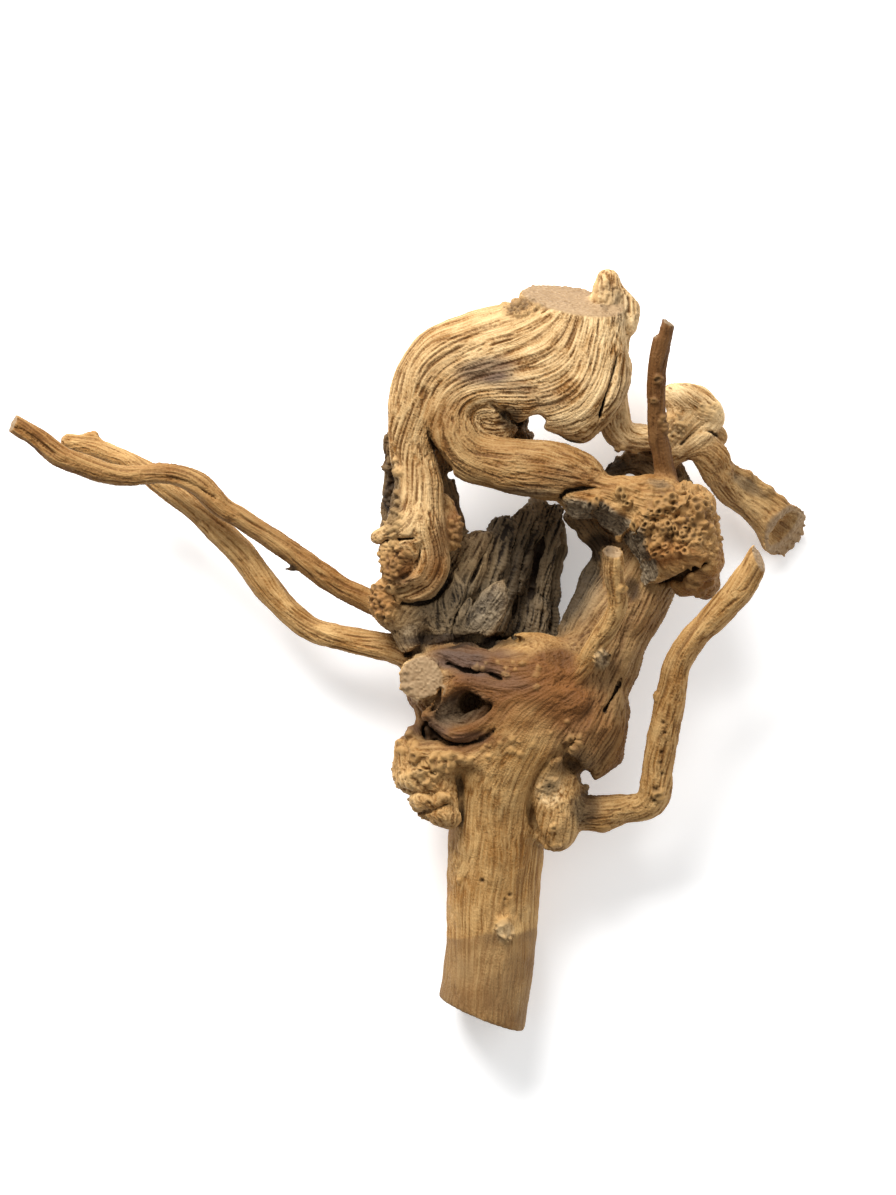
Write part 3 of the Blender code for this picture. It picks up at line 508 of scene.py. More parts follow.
# character of the surface: depth of the grain and of the long flutes, lumpiness,
# then how grey, red, pale and dark the wood is
styleKeys = ("grain", "flute", "lump", "grey", "red", "pale", "dark")
styles = {
    "plain": (0.34, 0.26, 0.6, 0, 0.1, 0.05, 0),
    "curl": (1.05, 0.55, 0.5, 0, 0.04, 0.45, 0.02),
    "limb": (0.85, 0.45, 0.5, 0, 0.12, 0.28, 0.02),
    "band": (0.9, 0.5, 0.6, 0, 0.26, 0.1, 0.2),
    "burl": (0.3, 0.4, 2.1, 0, 0.36, 0.04, 0.04),
    "lobe": (0.6, 0.4, 1, 0, 0.12, 0.12, 0),
    "body": (0.62, 1, 1.6, 0, 0.82, 0, 0.17),
    "twig": (0.62, 0.55, 0.5, 0, 0.42, 0, 0.1),
    "stem": (0.6, 0.5, 0.5, 0, 0.12, 0.06, 0),
    "light": (0.5, 0.6, 0.6, 0, 0, 0.45, 0),
    "torn": (1.3, 2.8, 1.6, 1, 0, 0, 0.15),
    # rear parts lie under and behind the rest; their darkness is partly painted shade
    "rear": (0.9, 1.3, 2.2, 0.6, 0.1, 0, 0.5),
    "flap": (0.7, 1, 1.1, 0.75, 0, 0.1, 0),
    "arm": (0.7, 1.3, 1, 0.3, 0.3, 0, 0.15),
    "twist": (0.5, 0.9, 0.8, 0.1, 0.15, 0.1, 0),
    "tall": (0.5, 0.4, 0.4, 0, 0.9, 0, 0.38),
    "ledge": (0.3, 0.3, 3, 0.1, 0.1, 0, 0.1),
}
# swellings whose own centre line says little about how their grain runs
roundLumps = (
    "bodyLeft", "bodyRight", "sideKnot", "rightLobe", "lobeA", "lobeB", "lobeC", "knob", "crown", "crownLeft",
    "headLip", "headCorner", "head", "curlFill", "limbCore", "burlMain", "burlRight", "burlTop", "topKnob",
    "crownSide", "lipKnot", "lowKnot", "lipBall", "bossLow", "boss", "leftFill", "rimHigh", "rimRight",
    "burlBumpA", "burlBumpB", "burlBumpC", "burlLedge",
)
# extra guides for the grain, seen from above: reach, pull, line of points (x, y) in mm
grainStrokes = {
    "limbToLip": (9, 4, [(2, 120), (3, 100), (3, 88), (-3, 77), (-17, 70)]),
    "limbToBoss": (9, 4, [(9, 116), (10, 96), (13, 80), (18, 66), (20, 54), (14, 42), (2, 34)]),
    "headOuter": (13, 3, [(84, 203), (76, 196), (60, 190), (36, 184), (16, 171), (6, 150), (2, 130)]),
    "headMiddle": (12, 3, [(96, 203), (92, 190), (80, 178), (60, 173), (38, 168), (22, 158), (12, 142),
        (8, 120)]),
    "headInner": (11, 3, [(108, 203), (105, 186), (98, 170), (84, 160), (64, 157), (42, 157), (28, 150),
        (22, 138), (25, 124)]),
    "lipFall": (11, 3, [(118, 203), (117, 184), (114, 166), (108, 152), (100, 142), (88, 138)]),
    "bandTop": (10, 3, [(30, 142), (32, 130), (44, 122), (66, 120), (88, 118), (104, 110)]),
    "bandLow": (10, 3, [(22, 140), (26, 122), (40, 110), (62, 104), (86, 101), (108, 98), (124, 94)]),
    "trunkMiddle": (22, 2, [(43, -213), (49, -180), (52, -120), (55, -90), (62, -66), (76, -48), (94, -30),
        (112, -2)]),
    "trunkRight": (14, 2, [(67, -219), (70, -180), (73, -120), (76, -96), (80, -72), (94, -54), (110, -38),
        (122, -8)]),
    "bodySweep": (14, 3, [(34, -62), (52, -52), (66, -38), (82, -30), (98, -18), (110, 2)]),
    "bodyTop": (10, 3, [(20, -8), (44, -12), (66, -18), (84, -18), (98, -10), (108, 6)]),
    "lidTop": (7, 3, [(12, -24), (26, -15), (44, -16), (60, -24), (76, -30)]),
    "lidLow": (7, 3, [(10, -36), (20, -46), (36, -50), (52, -42), (62, -30)]),
}
# round knots in the grain: x, y, reach, pull
grainKnots = [
    (-4, 54, 16, 9), (84, -80, 9, 8), (87, -105, 6, 6), (4, -66, 8, 5), (14, -78, 8, 5), (22, -92, 8, 5),
    (172, 45, 9, 6), (126, 38, 5, 4), (118, 63, 4, 3), (56, -155, 5, 3),
]
grainSettings = {
    "limbStep": 4.0,
    "strokeStep": 3.0,
    "spare": 9,  # how far outside a limb its grain is felt
    "fade": 3.5,  # how fast it fades there
    "lumpPull": 0.15,  # pull of a round lump's own centre line
    "sway": ((9, 40, 0.07), (26, 50, 0.13)),  # bends in the grain: their size, seed and strength
}


def grainDirections(top):
    # how the grain runs, and the look of each limb, on a coarse grid
    limbStep, strokeStep, spare, fade, lumpPull, sway = grainSettings.values()
    axes, shape = gridAxes(gridSettings["coarse"])
    tensor = np.zeros(shape + (6,), np.float32)
    look = np.zeros(shape + (len(styleKeys),), np.float32)
    weight = np.full(shape, 1e-9, np.float32)
    for name, (style, flat, melt, points) in limbs.items():
        path = smoothPath(points, limbStep)
        character = np.array(styles[style], np.float32)
        for a, b, part, x, y, z in stretches(axes, path, spare, 3):
            d = tubeDistance(x, y, z, a, b, flat)
            w = np.exp(-(d / fade) ** 2).astype(np.float32)
            t = (b - a)[:3] / np.linalg.norm((b - a)[:3])
            pullGrain(tensor, part, t, w, lumpPull if name in roundLumps else 1.0)
            look[part] += w[..., None] * character
            weight[part] += w
    for reach, pull, line in grainStrokes.values():
        line = np.array(line, float)
        path = smoothPath(np.column_stack([line, topAt(top, line[:, 0], line[:, 1])]), strokeStep)
        for a, b, part, x, y, z in stretches(axes, path, 2 * reach):
            m = (a + b) / 2
            far = (x - m[0]) ** 2 + (y - m[1]) ** 2 + 0.4 * (z - m[2]) ** 2
            t = (b - a) / np.linalg.norm(b - a)
            pullGrain(tensor, part, t, pull * np.exp(-far / reach ** 2))
    for cx, cy, reach, pull in grainKnots:
        cz = float(topAt(top, cx, cy))
        side = 2 * reach
        part = subBox(axes, (cx - side, cy - side, cz - side), (cx + side, cy + side, cz + 12))
        x, y, z = gridSpots(axes, part)
        rx, ry = x - cx + 0 * z, y - cy + 0 * z
        r = np.sqrt(rx ** 2 + ry ** 2) + 0.5
        w = pull * np.exp(-(r ** 2 + 0.5 * (z - cz) ** 2) / reach ** 2)
        pullGrain(tensor, part, (-ry / r, rx / r, 0 * r), w)
    tensor, look = blurred(tensor), blurred(look / weight[..., None])
    used = tensor[..., :3].sum(-1) > 1e-4
    full = np.zeros((int(used.sum()), 3, 3), np.float32)
    for k, (i, j) in enumerate(tensorPairs):
        full[:, i, j] = full[:, j, i] = tensor[used][:, k]
    full /= np.trace(full, axis1=1, axis2=2)[:, None, None]
    direction = np.zeros(shape + (3,), np.float32)
    direction[used] = np.linalg.eigh(full)[1][:, :, 2]
    spots = np.stack(np.meshgrid(*axes, indexing="ij"), -1)[used]
    bend = np.stack([sum(pull * cloud(spots, size, seed + k) for size, seed, pull in sway)
                     for k in range(3)], -1)
    direction[used] += np.cross(bend, direction[used])
    direction[used] /= np.linalg.norm(direction[used], axis=1)[:, None]
    return direction, look


def streak(points, direction, size, seed, passes, texel, step, steps):
    # averages a noise block along the grain through each point
    block = softNoise(size, seed, passes)
    cell = gridSettings["coarse"]
    limit = np.array(direction.shape[:3]) - 1
    flat = direction.reshape(-1, 3)
    total = np.zeros(len(points), np.float32)
    for sense in (1.0, -1.0):
        p = points.copy()
        last = None
        for n in range(steps):
            i = np.clip(np.round((p - gridLow) / cell).astype(np.int32), 0, limit)
            d = flat[(i[:, 0] * (limit[1] + 1) + i[:, 1]) * (limit[2] + 1) + i[:, 2]]
            if last is None:
                d = d * sense
            else:
                d = np.where((d * last).sum(1)[:, None] < 0, -d, d)
            last = d
            p = p + step * d
            q = np.floor(p / texel).astype(np.int32) % size
            window = 0.5 + 0.5 * math.cos(math.pi * (n + 1) / (steps + 1))
            total += window * block[q[:, 0], q[:, 1], q[:, 2]]
    return total / total.std()


def biggestPiece(points, quads):
    # leaves out crumbs of wood that touch nothing
    label = np.arange(len(points))
    a, b = quads.ravel(), np.roll(quads, -1, axis=1).ravel()
    while True:
        lowest = np.minimum(label[a], label[b])
        joined = label.copy()
        np.minimum.at(joined, label[a], lowest)
        np.minimum.at(joined, label[b], lowest)
        joined = joined[joined][joined]
        if (joined == label).all():
            break
        label = joined
    keep = label == np.bincount(label).argmax()
    return points[keep], (np.cumsum(keep) - 1)[quads[keep[quads[:, 0]]]]


metresPerMm = 0.001
band = 4.0  # mm of distance kept on each side of the skin


def meshFromField(field):
    # quads on the zero level of the field
    grid = openvdb.FloatGrid(band)
    grid.copyFromArray(np.ascontiguousarray(np.clip(field, -band, band)))
    points, quads = biggestPiece(*grid.convertToQuads(0.0))
    points = points * gridSettings["cell"] + np.array(gridSettings["low"])
    mesh = bpy.data.meshes.new("driftwoodSkin")
    mesh.vertices.add(len(points))
    mesh.vertices.foreach_set("co", (points * metresPerMm).astype(np.float32).ravel())
    mesh.loops.add(4 * len(quads))
    mesh.loops.foreach_set("vertex_index", quads.astype(np.int32).ravel())
    mesh.polygons.add(len(quads))
    mesh.polygons.foreach_set("loop_start", np.arange(0, 4 * len(quads), 4, dtype=np.int32))
    mesh.update(calc_edges=True)
    return mesh


def meshPoints(mesh):
    points, normals = np.empty((2, len(mesh.vertices), 3), np.float32)
    mesh.vertices.foreach_get("co", points.ravel())
    mesh.vertex_normals.foreach_get("vector", normals.ravel())
    return points * 1000, normals


def smoothStep(low, high, x):
    t = np.clip((x - low) / (high - low), 0, 1)
    return t * t * (3 - 2 * t)


def refined(mesh):
    # one smooth subdivision of the skin
    item = bpy.data.objects.new("coarseSkin", mesh)
    bpy.context.collection.objects.link(item)
    calm = item.modifiers.new("calm", "SMOOTH")
    calm.factor = 0.5
    calm.iterations = 3
    finer = item.modifiers.new("finer", "SUBSURF")
    finer.levels = finer.render_levels = 1
    graph = bpy.context.evaluated_depsgraph_get()
    out = bpy.data.meshes.new_from_object(item.evaluated_get(graph))
    bpy.data.objects.remove(item, do_unlink=True)
    bpy.data.meshes.remove(mesh)
    return out


def addMask(mesh, name, values):
    layer = mesh.attributes.new(name, "FLOAT", "POINT")
    layer.data.foreach_set("value", values.astype(np.float32))


opennessSettings = {"creases": (4, 1.0), "hollows": (14, 3.0)}  # rounds of blurring, and mm above the skin


def openness(field, points, normals):
    # how much wood surrounds each spot: 0 on a sharp ridge, 1 deep in a fold; the two masks made from it
    # paint shade into creases and hollows
    cell = gridSettings["cell"]
    solid = np.clip(0.5 - field / cell, 0, 1)
    out = []
    for passes, lift in opennessSettings.values():
        near = solid
        for _ in range(passes):
            near = blurred(near)
        out.append(lookup(near, points + normals * lift, cell))
    return out


# shape of a wart: how far it reaches, its height over width, then its edge, ring and pit in radii
bumpShape = {"reach": 1.6, "squash": 0.6, "edge": 1.25, "ring": 0.62, "ringWidth": 0.3, "dent": 0.42}


def raiseBump(points, top, x, y, radius, pit):
    # a round wart: its rise, the pit in its middle and its cap, for the points near it
    shape = bumpShape
    z = float(topAt(top, x, y))
    reach = shape["reach"] * radius
    near = np.flatnonzero((np.abs(points[:, 0] - x) < reach) & (np.abs(points[:, 1] - y) < reach)
                          & (np.abs(points[:, 2] - z) < reach + 3))
    flat = points[near] - (x, y, z)
    flat[:, 2] *= shape["squash"]
    lobed = 1 + 0.2 * cloud(points[near], 1.7, 71) + 0.14 * cloud(points[near], 3.4, 72)
    r = np.linalg.norm(flat, axis=1) / radius * lobed
    dome = np.clip(1 - (r / shape["edge"]) ** 2, 0, 1) ** 1.5
    ring = np.exp(-((r - shape["ring"]) / shape["ringWidth"]) ** 2)
    rise = dome + pit * (0.9 * ring - 0.9 * np.exp(-(r / shape["dent"]) ** 2))
    return near, rise, pit * np.exp(-(r / 0.45) ** 2), np.clip(dome * 1.6, 0, 1)


def raiseMask(values, near, amount):
    values[near] = np.maximum(values[near], amount)


def scatter(random, cx, cy, hx, hy, count, radius):
    # random spots in an oval, not too close together
    placed = []
    tries = 0
    while len(placed) < count and tries < 40 * count:
        tries += 1
        u, v = random.uniform(-1, 1, 2)
        if u * u + v * v > 1:
            continue
        x, y = cx + u * hx, cy + v * hy
        if all((x - q[0]) ** 2 + (y - q[1]) ** 2 > (1.2 * radius) ** 2 for q in placed):
            placed.append((x, y))
    return placed


# clusters of warts, seen from above: x, y, half-sizes, how many, wart radius, height, share with a pit
wartPatches = [
    (158, 76, 18, 17, 46, 2.5, 2.8, 0.8), (166, 96, 6, 5, 8, 2.2, 2.4, 0.8),
    (170, 86, 10, 9, 14, 2.4, 2.6, 0.7), (158, 76, 20, 20, 14, 7, 3.6, 0), (118, 90, 14, 5, 5, 5, 2, 0),
    (8, -74, 13, 13, 5, 7, 2.5, 0), (160, 78, 22, 20, 70, 1.4, 1.4, 0.2), (156, 63, 12, 6, 12, 2.4, 2, 0.5),
    (172, 43, 10, 9, 9, 2.4, 1.2, 0.3), (182, 70, 5, 14, 12, 2.2, 1.6, 0.2), (4, -72, 9, 11, 5, 3, 1.3, 0.5),
    (-2, -56, 6, 8, 9, 2, 1.8, 0.1), (-11, 55, 6.5, 10, 34, 1.7, 2.1, 0.25),
    (-15, 31, 8, 11, 40, 1.8, 2.3, 0.3), (28, 72, 6, 9, 16, 1.7, 1.8, 0.2),
    (20, -64, 18, 3.5, 16, 1.9, 1.8, 0), (30, 70, 5, 8, 8, 1.8, 1.6, 0.1),
    (96, -50, 12, 10, 9, 1.8, 1.1, 0.1), (54, -56, 24, 6, 12, 1.7, 1.2, 0),
    (60, -10, 24, 5, 12, 1.8, 1.1, 0.1), (112, 87, 8, 4, 6, 1.8, 1.4, 0.6),
    (158, 136, 9, 8, 26, 1.7, 1.9, 0.2), (180, 146, 6, 5, 7, 2.2, 1.2, 0.1),
    (67, 206, 11, 6, 34, 1.5, 1.5, 0.7), (118, 214, 7, 10, 12, 2.4, 1.3, 0.2),
    (131, 120, 8, 5, 10, 1.8, 1.6, 0.2), (-10, 92, 5, 26, 22, 2.4, 2.4, 0.1),
    (115, -4, 5, 6, 20, 1.3, 2.2, 0.2), (-3, -20, 4, 10, 10, 1.6, 1.6, 0), (88, -118, 9, 3, 6, 2, 2, 0),
]
# single buds and ring knots: x, y, radius, height, pit share
buds = [
    (56, -163, 4.4, 3.4, 0.1), (57, -171, 1.7, 2.4, 0), (60, -172, 1.5, 2.2, 0), (61.5, -169, 1.5, 2.2, 0),
    (58.5, -174, 1.4, 1.8, 0), (30, -137, 2, 1.2, 0), (84, -80, 6, 2, 0.6), (84, -80, 2.6, 1.6, 0.9),
    (87, -105, 3, 1.6, 0.7), (126, 38, 3, 2, 0.4), (147.5, 163, 3, 1.8, 0.7), (146, 150, 2.4, 1.4, 0.5),
    (149, -86, 4, 1.5, 0.9), (117, -106, 3.5, 1.6, 0.1), (148.5, -26, 3, 1.6, 0.1), (96, -52, 3, 1.6, 0.4),
    (108.3, 89.4, 2.6, 1.8, 1), (112, 91.2, 2, 1.4, 1), (117.3, 88.2, 2.2, 1.6, 0.9), (126.3, 96, 3, 2.2, 1),
    (128.5, 93, 2.6, 2.2, 1), (130.5, 89.6, 2.8, 2.2, 0.9), (141.9, 81, 3.6, 2.8, 1),
    (148.5, 85.2, 3.6, 3, 1), (160.5, 86.4, 3.6, 2.8, 1), (169.5, 87, 3.6, 3, 1), (134.7, 76.8, 2.8, 2.2, 1),
    (141.3, 74.6, 3, 2.4, 1), (171, 43, 5.5, 1.8, 0.6), (-1, 59, 3.2, 0.8, 0.3), (14, -72, 4.5, 2.2, 0.8),
    (4, -62, 3.6, 2, 0.7), (19, -84, 3.6, 1.8, 0.3), (66, -60, 2, 1.2, 0), (76, -20, 2, 1, 0.2),
]
# worm holes: x, y, radius, depth
wormHoles = [
    (43.5, -137, 1.5, 5), (60.5, -146, 1.3, 5), (57.5, -149, 1.1, 4), (152, -42, 1.3, 4), (153, -48, 1.2, 4),
    (151, -60, 1.5, 4), (150.5, -66, 1.2, 4), (152, -73, 1.3, 4), (148, -82, 2, 5), (147, -89, 2.4, 5),
    (146.5, 162, 1.4, 4), (117, 61, 1.4, 3), (-20, -60, 1.5, 4), (61, 165, 0.9, 3), (39, 154, 0.8, 3),
]
wartSettings = {
    "seed": 5,
    "sizes": (0.6, 1.45),
    "heights": (0.5, 1.4),
    "pits": (0.5, 1.0),
    "broad": 4.5,  # from this radius on, a soft swelling and not a wart
    "tallest": 2.4,  # height and number from which the wood between the warts is fully crumpled
    "crowd": 30,
    "crumple": 0.8,
}


def addWarts(points, top, masks):
    # warts in clusters, buds and worm holes; what they raise or sink the skin by
    settings = wartSettings
    random = np.random.default_rng(settings["seed"])
    raised, swell = np.zeros((2, len(points)), np.float32)
    seen = smoothStep(-12, -6, points[:, 2] - topAt(top, points[:, 0], points[:, 1]))
    for cx, cy, hx, hy, count, radius, tall, pitted in wartPatches:
        broad = radius > settings["broad"]
        away = np.sqrt(((points[:, 0] - cx) / hx) ** 2 + ((points[:, 1] - cy) / hy) ** 2)
        inside = smoothStep(1.1, 0.7, away)
        between = inside * seen * min(1, tall / settings["tallest"]) * min(1, count / settings["crowd"])
        masks["gap"] = np.maximum(masks["gap"], between * (not broad))
        for x, y in scatter(random, cx, cy, hx, hy, count, radius):
            size = radius * random.uniform(*settings["sizes"])
            hollow = random.uniform(*settings["pits"]) if random.random() < pitted else 0.0
            near, rise, pit, cap = raiseBump(points, top, x, y, size, hollow)
            raiseMask(swell if broad else raised, near, rise * tall * random.uniform(*settings["heights"]))
            if not broad:
                raiseMask(masks["pit"], near, pit)
                raiseMask(masks["wart"], near, cap)
    for x, y, size, tall, hollow in buds:
        near, rise, pit, cap = raiseBump(points, top, x, y, size, hollow)
        raiseMask(raised, near, tall * rise)
        raiseMask(masks["pit"], near, pit)
        raiseMask(masks["wart"], near, cap)
    for x, y, size, deep in wormHoles:
        near, _, pit, _ = raiseBump(points, top, x, y, 1.8 * size, 1.0)
        raised[near] -= 0.5 * deep * pit
        raiseMask(masks["pit"], near, pit)
    crumple = np.abs(cloud(points, 2.3, 73)) + 0.6 * np.abs(cloud(points, 1.2, 74))
    sunk = settings["crumple"] * masks["gap"] * (1 - 0.55 * masks["wart"]) * (crumple - 1.1)
    return raised + swell - sunk


# stains and patches of painted shade by mask, seen from above: x, y, half-sizes, turn in degrees, amount
stainsAndShade = {
    "purple": [(46, 168, 20, 9, 8, 0.8), (24, -4, 22, 6, 0, 0.6), (50, -16, 26, 6, -8, 0.4),
        (34, -52, 16, 5, 10, 0.5), (-4, -46, 10, 6, 0, 0.6), (60, 160, 16, 6, -12, 0.4),
        (14, -46, 12, 9, 0, 0.6), (36, -8, 22, 6, -8, 0.6), (38, 1, 30, 5, -4, 0.6)],
    "red": [(70, -28, 46, 26, 0, 0.55), (158, 78, 22, 22, 0, 0.25), (78, 150, 14, 10, 0, 0.25),
        (66, 206, 10, 6, 20, 0.5), (92, 104, 24, 7, 4, 0.3), (-6, 52, 10, 12, 0, 0.7),
        (18, 62, 7, 22, -10, 0.5), (28, 76, 6, 13, 0, 0.6), (-14, 32, 8, 10, 0, 0.3),
        (171, 43, 11, 9, 0, 0.4), (40, -54, 20, 6, 8, 0.6), (86, -8, 14, 12, 0, 0.5), (84, 9, 14, 6, 0, 0.3),
        (131, 122, 9, 5, 0, 0.3)],
    # the first orange patch lightens the right of the body, which lies in shade: partly painted light
    "orange": [(100, -26, 22, 26, -20, 0.2), (160, 58, 18, 8, 0, 0.3), (-16, 32, 8, 10, 0, 0.5),
        (10, 46, 14, 14, 0, 0.3), (152, 60, 14, 8, 10, 0.65)],
    # dark patches: partly dark wood, partly painted shade in the curl's tunnel, hollows, the arm's cavity,
    # under the body's rim, beneath the ledge and between the torn ribs
    "dark": [(84, -80, 5.5, 5.5, 0, 0.6), (60, 140, 8, 8, 0, 0.85), (66, 206, 9, 4, 20, 0.35),
        (-4, 44, 7, 4, 0, 0.4), (30, 72, 4, 7, 0, 0.3), (150, 97, 5, 4, 0, 0.3), (14, -46, 8, 6, 0, 0.35),
        (10, -50, 9, 7, 0, 0.35), (100, -66, 12, 9, 20, 0.5), (105, -94, 10, 12, 0, 0.75),
        (-10, 92, 6, 22, 0, 0.6), (226, 76, 8, 4, 45, 0.25), (114, 63, 9, 9, 0, 0.65),
        (134, 38, 5, 8, 15, 0.7), (-72, 50, 5, 3, 0, 0.9), (124, 112, 10, 6, 0, 0.5),
        (69, 46, 13, 30, -10, 0.5), (34, 7, 40, 4.5, 0, 0.95), (20, 8, 20, 5, 0, 0.6),
        (99, 34, 9, 24, -25, 0.3), (91, -3, 12, 8, -25, 0.25)],
    "ash": [(126, 206, 6, 12, 0, 0.4), (119, 214, 8, 10, 0, 0.3), (60, 95, 30, 4, 2, 0.5),
        (30, -34, 18, 11, 10, 0.45), (108, -92, 10, 10, 0, 0.3), (48, 26, 19, 10, 58, 0.8),
        (115, -4, 5, 6, 0, 0.5), (2, 10, 8, 8, 0, 0.5)],
    "grey": [(28, 26, 26, 22, 0, 0.3), (149, 100, 8, 3, -10, 0.6), (26, -36, 12, 8, 10, 0.5),
        (204, 101, 14, 4, -32, 0.6), (104, 36, 12, 24, -25, 0.5)],
    "pale": [(115, -4, 5.5, 6.5, 0, 0.85), (57, -168, 6, 7, 0, 0.5), (84, -82, 9, 10, 0, 0.4)],
}


# stains and patches of painted shade, laid on the surfaces seen from above
def addStainsAndShade(points, top, look):
    seen = smoothStep(-14, -6, points[:, 2] - topAt(top, points[:, 0], points[:, 1]))
    for name, spots in stainsAndShade.items():
        for x, y, hx, hy, turn, amount in spots:
            u, v = turned(points[:, 0] - x, points[:, 1] - y, turn)
            r = np.sqrt((u / hx) ** 2 + (v / hy) ** 2)
            look[name] = np.clip(look[name] + amount * smoothStep(1.25, 0.5, r) * seen, 0, 1)


faceSettings = {"depth": 1.3, "facing": (0.55, 0.85)}  # mm from the cut, and how squarely the skin faces it


def cutMask(points, normals, cuts):
    # where the skin is a saw cut or a clean break
    depth, facing = faceSettings.values()
    on = np.zeros(len(points), np.float32)
    for point, outward, reach in cuts.values():
        n = np.array(outward) / np.linalg.norm(outward)
        away = (points - point) @ n
        flat = ((points[:, :2] - np.array(point)[:2]) ** 2).sum(1) < reach ** 2
        on = np.maximum(on, np.exp(-(away / depth) ** 2) * smoothStep(*facing, normals @ n) * flat)
    return on


# marks traced along the grain: size, seed and rounding of the noise, its spot size in mm,
# then length in mm and number of the steps
traces = {
    "flute": (32, 11, 1, 3.2, 2.5, 16),
    "grain": (96, 12, 1, 0.48, 0.8, 42),
    "fine": (128, 13, 0, 0.6, 0.6, 22),
}
# how far each mark moves the skin, in mm
relief = {"lump": 0.5, "flute": 0.45, "groove": 1.15, "fine": 0.22, "cutCrumb": 0.14, "ashCrumb": 0.3}
# where each mask starts and where it is full
levels = {
    "groove": (-0.1, 2.0),
    "fine": (-0.3, 1.8),
    "hollow": (0.2, 1.8),
    # crease and recess masks: painted shade in creases and hollows
    "creaseShade": (0.42, 0.72),
    "recessShade": (0.38, 0.62),
    "gap": (0.75, 0.15),
    "foot": (1.5, -1.5),
}
# the foot of the trunk is cleaner below a slanting edge: its y at x, slope, waves, share and its spread
footBand = {"y": -170, "x": 50, "slope": 0.12, "wave": 1.5, "share": 0.75, "spread": 0.2}


def carveSurface(mesh, field, top):
    # flutes, grain, warts and holes pushed into the skin, with a mask for each look
    points, normals = meshPoints(mesh)
    direction, look = grainDirections(top)
    say("grain directions found")
    look = dict(zip(styleKeys, lookup(look, points, gridSettings["coarse"]).T))
    look.update({name: np.zeros(len(points), np.float32) for name in ("purple", "orange", "ash")})
    addStainsAndShade(points, top, look)
    cut = cutMask(points, normals, {**sawCuts, **tornEnds})
    look["ash"] = np.maximum(look["ash"], 0.95 * cutMask(points, normals, breaks))
    foot = footBand
    edge = foot["y"] + foot["slope"] * (points[:, 0] - foot["x"]) + foot["wave"] * cloud(points, 12, 61)
    clean = smoothStep(*levels["foot"], points[:, 1] - edge)
    clean *= foot["share"] + foot["spread"] * np.tanh(cloud(points, 10, 62))
    flute, grain, fine = (streak(points, direction, *trace) for trace in traces.values())
    say("grain traced")
    masks = {name: np.zeros(len(points), np.float32) for name in ("pit", "wart", "gap")}
    lump = cloud(points, 9, 21) + 0.5 * cloud(points, 4.5, 22)
    groove = smoothStep(*levels["groove"], -grain)
    height = look["lump"] * relief["lump"] * lump + look["flute"] * relief["flute"] * flute
    height -= (relief["groove"] * look["grain"] * (groove - 0.3)
               + relief["fine"] * smoothStep(*levels["fine"], -fine) * (0.4 + look["grain"]))
    height *= (1 - cut) * (1 - 0.5 * clean)
    height += addWarts(points, top, masks)
    crumb = cloud(points, 1.1, 23)
    height += relief["cutCrumb"] * crumb * cut + relief["ashCrumb"] * crumb * look["ash"]
    tight, deep = openness(field, points, normals)
    moved = points + normals * height[:, None]
    moved[:, 2] = np.maximum(moved[:, 2], 0)
    mesh.vertices.foreach_set("co", (moved * metresPerMm).astype(np.float32).ravel())
    mesh.update()
    smooth = 1 - np.maximum(cut, 0.8 * masks["wart"])
    rough = crumb * np.maximum(cut, look["ash"])
    gap = masks["gap"] * smoothStep(*levels["gap"], masks["wart"])
    for name, values in {
        "clean": clean,
        "groove": groove * smooth * (1 - 0.6 * clean) * np.clip(0.2 + look["grain"], 0, 1),
        "grain": np.clip(grain * smooth * np.clip(0.4 + 0.65 * look["grain"], 0, 1) + rough, -3, 3),
        "fine": np.clip(fine * smooth + rough, -3, 3),
        "hollow": smoothStep(*levels["hollow"], -flute) * smooth * np.clip(0.25 + 0.6 * look["flute"], 0, 1),
        # painted shade: darker deep in creases and in broad hollows
        "creaseShade": smoothStep(*levels["creaseShade"], tight),
        "recessShade": smoothStep(*levels["recessShade"], deep),
        "cut": cut,
        # pit: painted shade in wart pits and worm holes and in the wood between warts
        "pit": np.maximum(masks["pit"], 0.75 * gap),
        "wart": masks["wart"],
        "patch": np.clip(0.5 + 0.22 * (cloud(points, 16, 31) + 0.6 * cloud(points, 6, 32)), 0, 1),
        **{key: look[key] for key in ("grey", "red", "pale", "dark", "purple", "orange", "ash")},
    }.items():
        addMask(mesh, name, values)


axes, shape = gridAxes(gridSettings["cell"])
field = growField(np.full(shape, growSettings["farOff"], np.float32), axes, False)
say(f"limbs grown, grid {field.shape}")
field = growField(cutField(field, axes), axes, True)
say("hollows and saw cuts made")
top = topHeights(field)
field = foldField(field, axes, top)
say("creases folded")
mesh = refined(meshFromField(field))
say(f"skin: {len(mesh.vertices)} points, {len(mesh.polygons)} faces")
carveSurface(mesh, field, top)
mesh.polygons.foreach_set("use_smooth", np.ones(len(mesh.polygons), bool))
wood = bpy.data.objects.new("driftwoodSkin", mesh)
bpy.context.collection.objects.link(wood)
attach(wood, "root")
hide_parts("driftwood")
say("surface carved")


# wood finish: colours are linear
woodLook = {
    "ridge": (0.59, 0.365, 0.138),
    "middle": (0.275, 0.120, 0.023),
    "groove": (0.085, 0.034, 0.009),
    "red": (0.160, 0.056, 0.011),
    "orange": (0.34, 0.13, 0.03),
    "purple": (0.105, 0.064, 0.046),
    "grey": (0.25, 0.175, 0.095),
    "greyGroove": (0.014, 0.008, 0.003),
    "ashLight": (0.32, 0.245, 0.155),
    "ashDark": (0.075, 0.054, 0.032),
    "pale": (0.82, 0.61, 0.34),
    "clean": (0.18, 0.102, 0.042),
    "cutFace": (0.375, 0.252, 0.137),
    # dark: colour of painted shade in hollows, creases and pits, and of dark wood
    "dark": (0.02, 0.010, 0.004),
    "roughness": 0.66,
    "gloss": 0.2,
    "poreStrength": 0.35,
    "poreDepthM": 0.0004,
}


def newNode(tree, kind):
    # nodes are laid out in rows, in the order they are made
    number = len(tree.nodes)
    node = tree.nodes.new("ShaderNode" + kind)
    node.location = (200 * (number % 12) - 2600, -260 * (number // 12))
    return node


